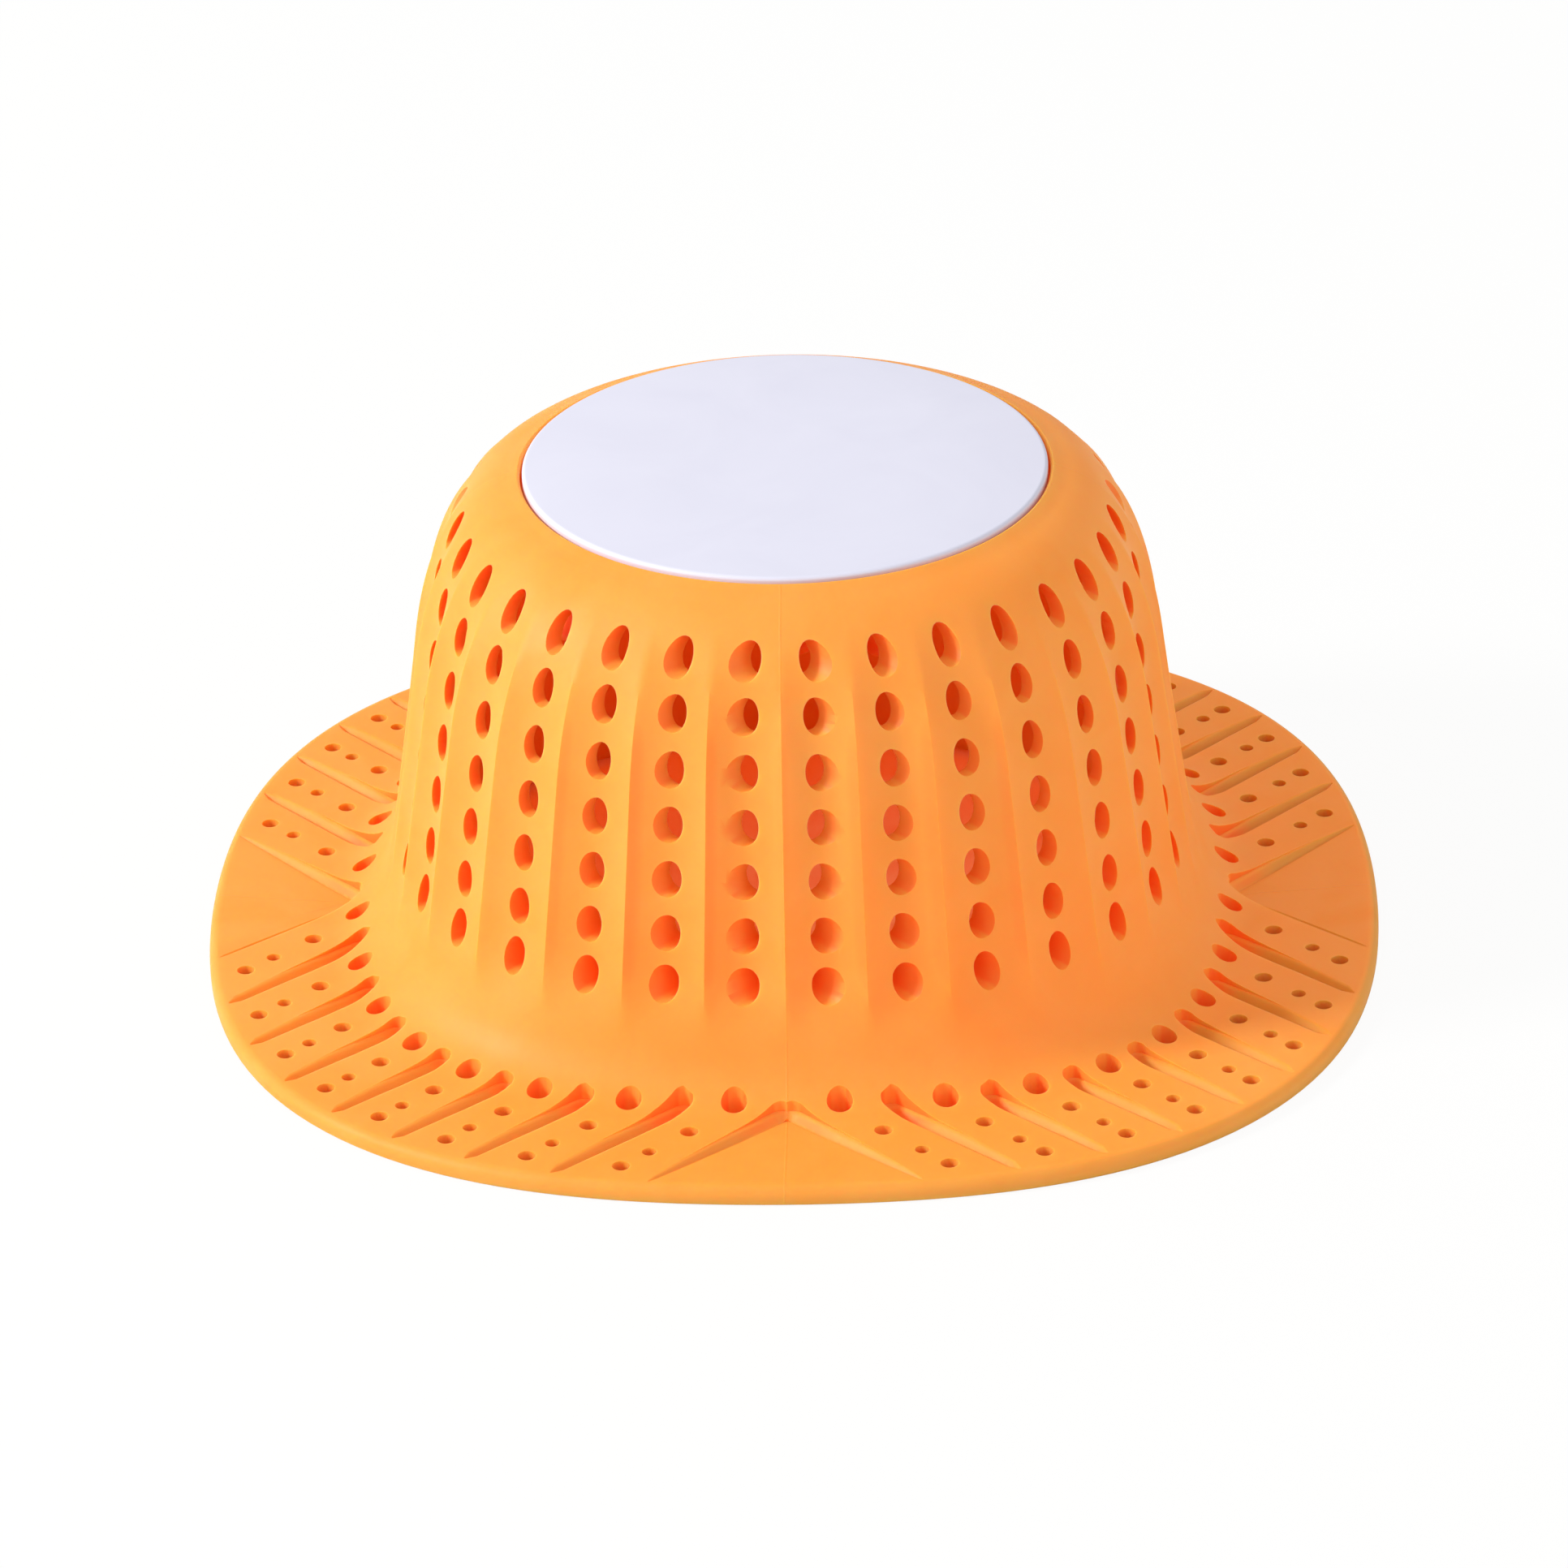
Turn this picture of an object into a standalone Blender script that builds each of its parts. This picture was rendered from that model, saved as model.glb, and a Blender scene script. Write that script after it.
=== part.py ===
"""Drain hair catcher: a soft hat-shaped strainer that stands over a shower drain.

The soft body is one moulding: a thin, slightly square brim, a fluted and perforated dome wall and a
crown with a recess. A hard white cap sits in the recess. Its ring wall passes through the crown web
and snaps into a cup below the web, and a stainless ballast plate is shut between the two.

Frame: metres, +Z up, brim standing on Z = 0, dome's axis on Z. The flats of the rim face +-X and +-Y.
Each quarter of the body is drawn off its mould by a side slide that moves along that quarter's
diagonal, so all the wall holes of a quarter are parallel to it.
"""

import math

import bmesh
import bpy
from mathutils import Matrix, Vector

MM = 0.001

# The gap kept between pieces that touch.
TOUCH_GAP = 0.3 * MM
# How far a cutter runs past the face that it opens.
CUT_OVERRUN = 2.0 * MM

# White cap. The body's radii are built outwards from it.
CAP_RADIUS = 31.4 * MM
CAP_THICKNESS = 2.0 * MM
CAP_EDGE_ROUND = 0.8 * MM
CAP_RING_INSET = 8.0 * MM
CAP_RING_WALL = 1.8 * MM
SNAP_BEAD = 0.3 * MM
SNAP_BEAD_HEIGHT = 0.8 * MM

# Crown: a raised lip round the recess that holds the cap.
LIP_HEIGHT = 59.9 * MM
LIP_WIDTH = 1.6 * MM
CAP_PROUD_HEIGHT = 0.5 * MM
WEB_THICKNESS = 1.8 * MM
WEB_HOLE_CLEARANCE = 0.6 * MM

# Dome wall: a round shoulder, a drafted cone and a fillet, each with its run outwards.
SHOULDER_RUN = 13.1 * MM
SHOULDER_HEIGHT = 38.0 * MM
DRAFT_RUN = 4.1 * MM
FOOT_HEIGHT = 12.2 * MM
FILLET_RUN = 9.0 * MM
# The inner face is nearly upright, so the wall is thick at its foot. Both are measured from a ridge.
FOOT_WALL_THICKNESS = 5.0 * MM
WALL_THICKNESS = 2.5 * MM

# Brim. Its outline is a circle drawn in at the four flats and out at the four corners.
BRIM_WIDTH = 14.5 * MM
SQUARENESS_SHARE = 0.0334
BRIM_THICKNESS = 2.3 * MM
RIM_ROUND = 0.8 * MM

# How the shoulder and fillet curves leave their ends, as shares of each curve's rise or run.
SHOULDER_LOW_HANDLE_SHARE = 0.5
SHOULDER_HIGH_HANDLE_SHARE = 0.52
SHOULDER_HIGH_DROP_SHARE = 0.12
FILLET_HIGH_HANDLE_SHARE = 0.63
FILLET_LOW_HANDLE_SHARE = 0.62
SHOULDER_STEPS = 4
CURVE_STEP_SHARE = 0.02
FILLET_STEPS = 3

# Flutes: one for each column of wall holes.
COLUMN_COUNT = 32
FLUTE_DEPTH = 1.4 * MM
FLUTE_TOP_DROP = 2.9 * MM
FLUTE_TOP_RUN = 13.0 * MM
FLUTE_FOOT_HEIGHT = 9.0 * MM
FLUTE_FOOT_RUN = 7.0 * MM

# Wall holes: upright ovals, in as many rows as the wall has room for.
BOTTOM_ROW_HEIGHT = 15.2 * MM
TOP_ROW_DROP = 6.12 * MM
ROW_PITCH = 6.62 * MM
HOLE_WIDTH = 3.1 * MM
HOLE_HEIGHT = 4.7 * MM
HOLE_SIDES = 6
HOLE_CUT_OUTWARD = 4.0 * MM
HOLE_CUT_INWARD = 6.5 * MM

# Brim openings: rows parallel to each quarter's diagonal, with a groove between one row and the next.
BRIM_ROW_COUNT = 8
DRAIN_HOLE_INREACH = 3.65 * MM
DRAIN_HOLE_DIAMETER = 3.1 * MM
GROOVE_INREACH = 4.1 * MM
GROOVE_OUTER_INSET = 3.0 * MM
GROOVE_WIDTH = 2.8 * MM
GROOVE_DEPTH = 1.2 * MM
GROOVE_FADE_SHARE = 0.2
GROOVE_SIDES = 4

# Brim pockets: a sunken triangle at each flat, deepest at its inner corner.
POCKET_DEPTH = 1.2 * MM
POCKET_INREACH = 5.65 * MM
POCKET_OUTER_INSET = 1.0 * MM
POCKET_CUT_HEIGHT = 14.0 * MM

# Ballast plate and the cup that holds it.
BALLAST_THICKNESS = 4.0 * MM
BALLAST_EDGE_BREAK = 0.4 * MM
CUP_FLANGE_WIDTH = 4.0 * MM
CUP_FLANGE_THICKNESS = 1.6 * MM
CUP_FLOOR_THICKNESS = 1.6 * MM
CUP_WALL = 1.8 * MM

ROUND_STEPS = 4
TURN_STEPS = 48
MERGE_DISTANCE = 0.01 * MM
FLATNESS = 0.2 * MM
SMOOTH_ANGLE = math.radians(35.0)

# Places that follow from the sizes above.
CAP_TOP_HEIGHT = LIP_HEIGHT + CAP_PROUD_HEIGHT
CAP_RING_RADIUS = CAP_RADIUS - CAP_RING_INSET
WEB_HOLE_RADIUS = CAP_RING_RADIUS + WEB_HOLE_CLEARANCE
RECESS_RADIUS = CAP_RADIUS + TOUCH_GAP
LIP_RADIUS = RECESS_RADIUS + LIP_WIDTH
SHOULDER_RADIUS = LIP_RADIUS + SHOULDER_RUN
FOOT_RADIUS = SHOULDER_RADIUS + DRAFT_RUN
FILLET_END_RADIUS = FOOT_RADIUS + FILLET_RUN
RIM_RADIUS = FILLET_END_RADIUS + BRIM_WIDTH
FLUTE_TOP_HEIGHT = LIP_HEIGHT - FLUTE_TOP_DROP
POCKET_CORNER_RADIUS = FILLET_END_RADIUS - POCKET_INREACH
BRIM_ROW_PITCH = POCKET_CORNER_RADIUS / (BRIM_ROW_COUNT / 2 * math.sqrt(2))
DRAIN_HOLE_INSET = BRIM_WIDTH + DRAIN_HOLE_INREACH
GROOVE_INNER_INSET = BRIM_WIDTH + GROOVE_INREACH
CAP_UNDERSIDE = CAP_TOP_HEIGHT - CAP_THICKNESS
WEB_TOP = CAP_UNDERSIDE - TOUCH_GAP
WEB_BOTTOM = WEB_TOP - WEB_THICKNESS
BALLAST_TOP = CAP_UNDERSIDE - TOUCH_GAP
BALLAST_BOTTOM = BALLAST_TOP - BALLAST_THICKNESS
CUP_FLOOR_TOP = BALLAST_BOTTOM - TOUCH_GAP
CUP_BOTTOM = CUP_FLOOR_TOP - CUP_FLOOR_THICKNESS
CUP_FLANGE_TOP = WEB_BOTTOM - TOUCH_GAP
RING_INNER_RADIUS = CAP_RING_RADIUS - CAP_RING_WALL


def bezier(start, start_handle, end_handle, end, share):
    """The point at a share of the way along a cubic curve, as (radius, height)."""
    rest = 1 - share
    weights = (rest**3, 3 * rest**2 * share, 3 * rest * share**2, share**3)
    points = (start, start_handle, end_handle, end)
    return tuple(sum(w * p[axis] for w, p in zip(weights, points)) for axis in (0, 1))


def shoulder_point(share):
    """The outer shoulder, from the top of the drafted wall to the lip."""
    start = (SHOULDER_RADIUS, SHOULDER_HEIGHT)
    end = (LIP_RADIUS, LIP_HEIGHT)
    rise = LIP_HEIGHT - SHOULDER_HEIGHT
    draft = DRAFT_RUN / (SHOULDER_HEIGHT - FOOT_HEIGHT)
    up = rise * SHOULDER_LOW_HANDLE_SHARE
    start_handle = (SHOULDER_RADIUS - up * draft, SHOULDER_HEIGHT + up)
    out = SHOULDER_RUN * SHOULDER_HIGH_HANDLE_SHARE
    end_handle = (LIP_RADIUS + out, LIP_HEIGHT - rise * SHOULDER_HIGH_DROP_SHARE)
    return bezier(start, start_handle, end_handle, end, share)


def fillet_point(share):
    """The outer fillet, from the foot of the wall down and out to the top of the brim."""
    start = (FOOT_RADIUS, FOOT_HEIGHT)
    end = (FILLET_END_RADIUS, BRIM_THICKNESS)
    draft = DRAFT_RUN / (SHOULDER_HEIGHT - FOOT_HEIGHT)
    drop = (FOOT_HEIGHT - BRIM_THICKNESS) * FILLET_HIGH_HANDLE_SHARE
    back = FILLET_RUN * FILLET_LOW_HANDLE_SHARE
    start_handle = (FOOT_RADIUS + drop * draft, FOOT_HEIGHT - drop)
    end_handle = (FILLET_END_RADIUS - back, BRIM_THICKNESS)
    return bezier(start, start_handle, end_handle, end, share)


def wall_radius(height):
    """The radius of the flutes' ridges at a height on the wall or the shoulder."""
    if height <= SHOULDER_HEIGHT:
        share = (height - FOOT_HEIGHT) / (SHOULDER_HEIGHT - FOOT_HEIGHT)
        return FOOT_RADIUS - DRAFT_RUN * share
    low, high = 0.0, 1.0
    for _ in range(30):
        middle = (low + high) / 2
        if shoulder_point(middle)[1] < height:
            low = middle
        else:
            high = middle
    return shoulder_point(low)[0]


def limited(share):
    """A share kept between none and all."""
    return min(max(share, 0.0), 1.0)


def flute_depth(height):
    """How deep the flutes are at a height: none above their top or below their foot."""
    from_top = limited((FLUTE_TOP_HEIGHT - height) / FLUTE_TOP_RUN)
    from_foot = limited((height - FLUTE_FOOT_HEIGHT) / FLUTE_FOOT_RUN)
    return FLUTE_DEPTH * from_top * from_foot


def square_shape(angle, height):
    """The outline's radius at an angle, as a share of its mean. It is round at the lip."""
    squareness = SQUARENESS_SHARE * (1 - min(height / LIP_HEIGHT, 1.0) ** 4)
    return 1 - squareness * math.cos(4 * angle)


def surface_point(radius, height, angle, fluted):
    """A point of the body's skin. Ridges lie at whole columns and valleys midway between them."""
    distance = radius * square_shape(angle, height)
    if fluted:
        valley = (1 - math.cos(COLUMN_COUNT * angle)) / 2
        distance -= valley * flute_depth(height)
    return Vector((distance * math.cos(angle), distance * math.sin(angle), height))


def outer_profile():
    """The body's outer profile, from the web's hole over the lip and down to the brim's edge."""
    points = [(WEB_HOLE_RADIUS, WEB_TOP), (RECESS_RADIUS, WEB_TOP)]
    lip_side = LIP_HEIGHT - LIP_WIDTH / 4
    points.append((RECESS_RADIUS, lip_side))
    points.append((RECESS_RADIUS + LIP_WIDTH / 3, LIP_HEIGHT))
    points += [shoulder_point(1 - step / SHOULDER_STEPS) for step in range(SHOULDER_STEPS + 1)]
    points += [fillet_point(step / FILLET_STEPS) for step in range(FILLET_STEPS + 1)]
    points.append((RIM_RADIUS - RIM_ROUND, BRIM_THICKNESS))
    points.append((RIM_RADIUS, BRIM_THICKNESS - RIM_ROUND))
    return points


def inner_shoulder_point(share):
    """The inner shoulder: the outer one moved in by the wall, square to it."""
    before = Vector(shoulder_point(share - CURVE_STEP_SHARE))
    after = Vector(shoulder_point(share + CURVE_STEP_SHARE))
    along = (after - before).normalized()
    middle = (before + after) / 2
    return (middle.x - along.y * WALL_THICKNESS, middle.y + along.x * WALL_THICKNESS)


def inner_profile():
    """The body's underside and inner face, from the brim's edge in and up to the web."""
    bore = FOOT_RADIUS - FOOT_WALL_THICKNESS
    points = [(RIM_RADIUS, 0.0), (bore + BRIM_THICKNESS, 0.0), (bore, BRIM_THICKNESS)]
    points.append((bore, FOOT_HEIGHT))
    points.append((SHOULDER_RADIUS - WALL_THICKNESS, SHOULDER_HEIGHT))
    points += [inner_shoulder_point(step / SHOULDER_STEPS) for step in range(1, SHOULDER_STEPS)]
    points += [(LIP_RADIUS, WEB_BOTTOM), (WEB_HOLE_RADIUS, WEB_BOTTOM)]
    return points


def new_object(name, mesh, collection):
    piece = bpy.data.objects.new(name, mesh)
    collection.objects.link(piece)
    return piece


def finish_mesh(shape, name):
    """Turns a bmesh into a mesh with its faces pointing out, shaded smooth."""
    bmesh.ops.recalc_face_normals(shape, faces=shape.faces)
    mesh = bpy.data.meshes.new(name)
    shape.to_mesh(mesh)
    shape.free()
    mesh.shade_smooth()
    mesh.set_sharp_from_angle(angle=SMOOTH_ANGLE)
    return mesh


def bridge(shape, first, second):
    """Faces between two rings of points, which may have one or two points to a column."""
    for column in range(COLUMN_COUNT):
        sides = []
        for ring in (first, second):
            per_column = len(ring) // COLUMN_COUNT
            start = column * per_column
            sides.append([ring[(start + step) % len(ring)] for step in range(per_column + 1)])
        if len(sides[0]) == len(sides[1]):
            for step in range(len(sides[0]) - 1):
                near, far = sides[0][step : step + 2], sides[1][step : step + 2]
                shape.faces.new((*near, *reversed(far)))
        else:
            coarse, fine = sorted(sides, key=len)
            shape.faces.new((fine[0], fine[1], coarse[0]))
            shape.faces.new((fine[1], coarse[1], coarse[0]))
            shape.faces.new((fine[1], fine[2], coarse[1]))


def split_bent_faces(shape):
    """Splits each face that isn't flat in two, because a Boolean wants flat faces."""
    shape.normal_update()
    bent = []
    for face in shape.faces:
        heights = [(vert.co - face.verts[0].co).dot(face.normal) for vert in face.verts]
        if max(heights) - min(heights) > FLATNESS:
            bent.append(face)
    bmesh.ops.triangulate(shape, faces=bent)


def lofted_body(collection):
    """The body before it is cut: rings lofted between unlike sections, round, fluted and square."""
    shape = bmesh.new()
    rings = []
    for profile, per_column in ((outer_profile(), 2), (inner_profile(), 1)):
        count = per_column * COLUMN_COUNT
        angles = [2 * math.pi * step / count for step in range(count)]
        fluted = per_column > 1
        for radius, height in profile:
            rings.append([shape.verts.new(surface_point(radius, height, a, fluted)) for a in angles])
    for first, second in zip(rings, rings[1:] + rings[:1]):
        bridge(shape, first, second)
    split_bent_faces(shape)
    mesh = finish_mesh(shape, "strainer_body")
    return new_object("strainer_body", mesh, collection)


def turned_piece(name, profile, collection):
    """A profile of (radius, height) points turned about Z. It starts and ends on the axis or closes."""
    mesh = bpy.data.meshes.new(name)
    closed = profile[0][0] > 0
    count = len(profile)
    edges = [(i, (i + 1) % count) for i in range(count if closed else count - 1)]
    mesh.from_pydata([(radius, 0.0, height) for radius, height in profile], edges, [])
    piece = new_object(name, mesh, collection)
    screw = piece.modifiers.new("Turn", "SCREW")
    screw.steps = TURN_STEPS
    screw.render_steps = TURN_STEPS
    screw.use_merge_vertices = True
    screw.merge_threshold = MERGE_DISTANCE
    screw.use_smooth_shade = True
    return piece


def rounded_corner(radius, height, round_size, start_turn):
    """Points of a quarter turn about (radius, height), turning clockwise from start_turn."""
    points = []
    for step in range(ROUND_STEPS + 1):
        turn = start_turn - math.pi / 2 * step / ROUND_STEPS
        points.append((radius + round_size * math.cos(turn), height + round_size * math.sin(turn)))
    return points


def row_heights():
    """Heights of the rows of wall holes, from the lowest up. The end rows take up what is left over."""
    span = LIP_HEIGHT - TOP_ROW_DROP - BOTTOM_ROW_HEIGHT
    steps = max(round(span / ROW_PITCH), 2)
    end_pitch = (span - (steps - 2) * ROW_PITCH) / 2
    heights = [BOTTOM_ROW_HEIGHT]
    for step in range(1, steps + 1):
        heights.append(heights[-1] + (end_pitch if step in (1, steps) else ROW_PITCH))
    return heights


def add_prism(shape, sides, size, place):
    """An upright prism of one unit across and one high, sized and then placed by a matrix."""
    scale = Matrix.Diagonal((*size, 1))
    bmesh.ops.create_cone(
        shape, cap_ends=True, segments=sides, radius1=0.5, radius2=0.5, depth=1, matrix=place @ scale
    )


def facing(direction):
    """A turn that lays the prism's own Z along a level direction and keeps its own Y upright."""
    up = Vector((0, 0, 1))
    side = up.cross(direction)
    return Matrix((side, up, direction)).transposed().to_4x4()


def quarter_direction(quarter):
    angle = math.pi / 4 + quarter * math.pi / 2
    return Vector((math.cos(angle), math.sin(angle), 0))


def cut_with(body, shape, name, cutters):
    """Cuts the body with a bmesh, kept as a wire cutter in its own collection."""
    cutter = new_object(name, finish_mesh(shape, name), cutters)
    cutter.hide_render = True
    cutter.display_type = "WIRE"
    cut = body.modifiers.new(name, "BOOLEAN")
    cut.operation = "DIFFERENCE"
    cut.object = cutter


def cut_wall_holes(body, quarter, cutters):
    """The wall holes of one quarter, all drawn along its diagonal."""
    shape = bmesh.new()
    direction = quarter_direction(quarter)
    turn = facing(direction)
    length = HOLE_CUT_OUTWARD + HOLE_CUT_INWARD
    outward_shift = direction * (HOLE_CUT_OUTWARD - HOLE_CUT_INWARD) / 2
    columns = COLUMN_COUNT // 4
    for column in range(columns):
        angle = (quarter + (column + 0.5) / columns) * math.pi / 2
        for height in row_heights():
            mouth = surface_point(wall_radius(height), height, angle, True)
            place = Matrix.Translation(mouth + outward_shift) @ turn
            add_prism(shape, HOLE_SIDES, (HOLE_WIDTH, HOLE_HEIGHT, length), place)
    cut_with(body, shape, f"wall_hole_cutter_{quarter + 1}", cutters)


def rim_distance(angle):
    return RIM_RADIUS * square_shape(angle, 0.0)


def brim_place(quarter, offset, inset):
    """The place in a quarter that is offset from its diagonal and inset from the rim."""
    diagonal = math.pi / 4 + quarter * math.pi / 2
    from_diagonal = 0.0
    for _ in range(8):
        distance = rim_distance(diagonal + from_diagonal) - inset
        from_diagonal = math.asin(offset / distance)
    angle = diagonal + from_diagonal
    return Vector((distance * math.cos(angle), distance * math.sin(angle), 0))


def cut_drain_holes(body, cutters):
    """One upright hole at the inner end of each brim row."""
    shape = bmesh.new()
    top = FOOT_HEIGHT
    length = top + CUT_OVERRUN
    for quarter in range(4):
        for row in range(BRIM_ROW_COUNT):
            offset = (row - (BRIM_ROW_COUNT - 1) / 2) * BRIM_ROW_PITCH
            place = brim_place(quarter, offset, DRAIN_HOLE_INSET)
            place.z = (top - CUT_OVERRUN) / 2
            size = (DRAIN_HOLE_DIAMETER, DRAIN_HOLE_DIAMETER, length)
            add_prism(shape, HOLE_SIDES, size, Matrix.Translation(place))
    cut_with(body, shape, "drain_hole_cutter", cutters)


def cut_grooves(body, cutters):
    """Tapered grooves between the brim's rows, deep at the fillet and fading out towards the rim."""
    shape = bmesh.new()
    for quarter in range(4):
        for row in range(1, BRIM_ROW_COUNT):
            offset = (row - BRIM_ROW_COUNT / 2) * BRIM_ROW_PITCH
            inner = brim_place(quarter, offset, GROOVE_INNER_INSET)
            outer = brim_place(quarter, offset, GROOVE_OUTER_INSET)
            inner.z = BRIM_THICKNESS - GROOVE_DEPTH + GROOVE_WIDTH / 2
            outer.z = BRIM_THICKNESS + GROOVE_WIDTH * GROOVE_FADE_SHARE / 2
            along = outer - inner
            turn = along.to_track_quat("Z", "Y").to_matrix().to_4x4()
            bmesh.ops.create_cone(
                shape,
                cap_ends=True,
                segments=GROOVE_SIDES,
                radius1=GROOVE_WIDTH / 2,
                radius2=GROOVE_WIDTH * GROOVE_FADE_SHARE / 2,
                depth=along.length,
                matrix=Matrix.Translation((inner + outer) / 2) @ turn,
            )
    cut_with(body, shape, "groove_cutter", cutters)


def cut_pockets(body, cutters):
    """A sunken triangle at each flat, its inner corner where the outermost rows' bounds meet."""
    shape = bmesh.new()
    corner = POCKET_CORNER_RADIUS
    level_at = RIM_RADIUS * square_shape(0.0, 0.0) - POCKET_OUTER_INSET
    slope = math.atan2(POCKET_DEPTH, level_at - corner)
    reach = (RIM_RADIUS + CUT_OVERRUN - corner) / 1.5
    square_corner = Matrix.Diagonal((1, math.sqrt(3), 1, 1))
    lift = Matrix.Translation((reach, 0, POCKET_CUT_HEIGHT / 2))
    for flat in range(4):
        seat = Matrix.Translation((corner, 0, BRIM_THICKNESS - POCKET_DEPTH))
        turn = Matrix.Rotation(flat * math.pi / 2, 4, "Z")
        tilt = Matrix.Rotation(-slope, 4, "Y")
        bmesh.ops.create_cone(
            shape,
            cap_ends=True,
            segments=3,
            radius1=reach,
            radius2=reach,
            depth=POCKET_CUT_HEIGHT,
            matrix=turn @ seat @ tilt @ lift @ square_corner @ Matrix.Rotation(math.pi / 2, 4, "Z"),
        )
    cut_with(body, shape, "pocket_cutter", cutters)


def strainer_body(collection, cutters):
    body = lofted_body(collection)
    for quarter in range(4):
        cut_wall_holes(body, quarter, cutters)
    cut_drain_holes(body, cutters)
    cut_grooves(body, cutters)
    cut_pockets(body, cutters)
    return body


def cap_disc(collection):
    """The white cap: a plate with a rounded edge and a ring wall with a snap bead."""
    profile = [(0.0, CAP_TOP_HEIGHT)]
    corner_height = CAP_TOP_HEIGHT - CAP_EDGE_ROUND
    profile += rounded_corner(CAP_RADIUS - CAP_EDGE_ROUND, corner_height, CAP_EDGE_ROUND, math.pi / 2)
    profile.append((CAP_RADIUS, CAP_UNDERSIDE))
    profile.append((CAP_RING_RADIUS, CAP_UNDERSIDE))
    bead_top = BALLAST_BOTTOM + 2 * SNAP_BEAD_HEIGHT
    profile.append((CAP_RING_RADIUS, bead_top))
    profile.append((CAP_RING_RADIUS + SNAP_BEAD, bead_top - SNAP_BEAD_HEIGHT / 2))
    profile.append((CAP_RING_RADIUS, bead_top - SNAP_BEAD_HEIGHT))
    profile.append((CAP_RING_RADIUS, BALLAST_BOTTOM))
    profile.append((RING_INNER_RADIUS, BALLAST_BOTTOM))
    profile.append((RING_INNER_RADIUS, CAP_UNDERSIDE))
    profile.append((0.0, CAP_UNDERSIDE))
    return turned_piece("cap_disc", profile, collection)


def ballast_plate(collection):
    """The stainless plate, with its edges broken."""
    radius = RING_INNER_RADIUS - TOUCH_GAP
    inner = radius - BALLAST_EDGE_BREAK
    profile = [
        (0.0, BALLAST_TOP),
        (inner, BALLAST_TOP),
        (radius, BALLAST_TOP - BALLAST_EDGE_BREAK),
        (radius, BALLAST_BOTTOM + BALLAST_EDGE_BREAK),
        (inner, BALLAST_BOTTOM),
        (0.0, BALLAST_BOTTOM),
    ]
    return turned_piece("ballast_plate", profile, collection)


def retaining_cup(collection):
    """The cup under the web: a flange, a wall with a snap groove and a floor under the ballast."""
    bore = CAP_RING_RADIUS + TOUCH_GAP
    wall_outside = bore + CUP_WALL
    flange_outside = wall_outside + CUP_FLANGE_WIDTH
    flange_bottom = CUP_FLANGE_TOP - CUP_FLANGE_THICKNESS
    groove_top = BALLAST_BOTTOM + 2 * SNAP_BEAD_HEIGHT + TOUCH_GAP
    groove_bottom = groove_top - SNAP_BEAD_HEIGHT - 2 * TOUCH_GAP
    groove_middle = (groove_top + groove_bottom) / 2
    profile = [
        (0.0, CUP_FLOOR_TOP),
        (bore, CUP_FLOOR_TOP),
        (bore, groove_bottom),
        (bore + SNAP_BEAD, groove_middle),
        (bore, groove_top),
        (bore, CUP_FLANGE_TOP),
        (flange_outside, CUP_FLANGE_TOP),
        (flange_outside, flange_bottom),
        (wall_outside, flange_bottom),
        (wall_outside, CUP_BOTTOM),
        (0.0, CUP_BOTTOM),
    ]
    return turned_piece("retaining_cup", profile, collection)


def finish(piece, colour, roughness, metallic):
    """Gives a piece its own plain material."""
    material = bpy.data.materials.new(piece.name)
    material.use_nodes = True
    surface = material.node_tree.nodes["Principled BSDF"]
    surface.inputs["Base Color"].default_value = (*colour, 1)
    surface.inputs["Roughness"].default_value = roughness
    surface.inputs["Metallic"].default_value = metallic
    piece.data.materials.append(material)


def build():
    for old in list(bpy.data.objects):
        bpy.data.objects.remove(old, do_unlink=True)
    parts = bpy.data.collections.new("drain_hair_catcher")
    cutters = bpy.data.collections.new("cutters")
    for collection in (parts, cutters):
        bpy.context.scene.collection.children.link(collection)
    finish(strainer_body(parts, cutters), (0.98, 0.40, 0.09), 0.45, 0.0)
    finish(cap_disc(parts), (0.80, 0.80, 0.87), 0.40, 0.0)
    finish(ballast_plate(parts), (0.62, 0.62, 0.63), 0.30, 1.0)
    finish(retaining_cup(parts), (0.78, 0.78, 0.80), 0.45, 0.0)


build()
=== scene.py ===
# %% [markdown]
# Drain hair catcher
#
# This catcher looks like a small hat. A soft orange moulding stands over the drain on a thin brim. Its
# fluted wall is full of oval holes, and a white cap fills the recess in its crown. Below the cap a steel
# plate keeps the soft hat down when water runs over it. The imported model gives the place and size of
# every piece, so the script starts by loading it, and keeps its box to print beside the finished model's.

# %% Load the imported model
import math

import bmesh
import bpy
from mathutils import Matrix, Vector


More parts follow.
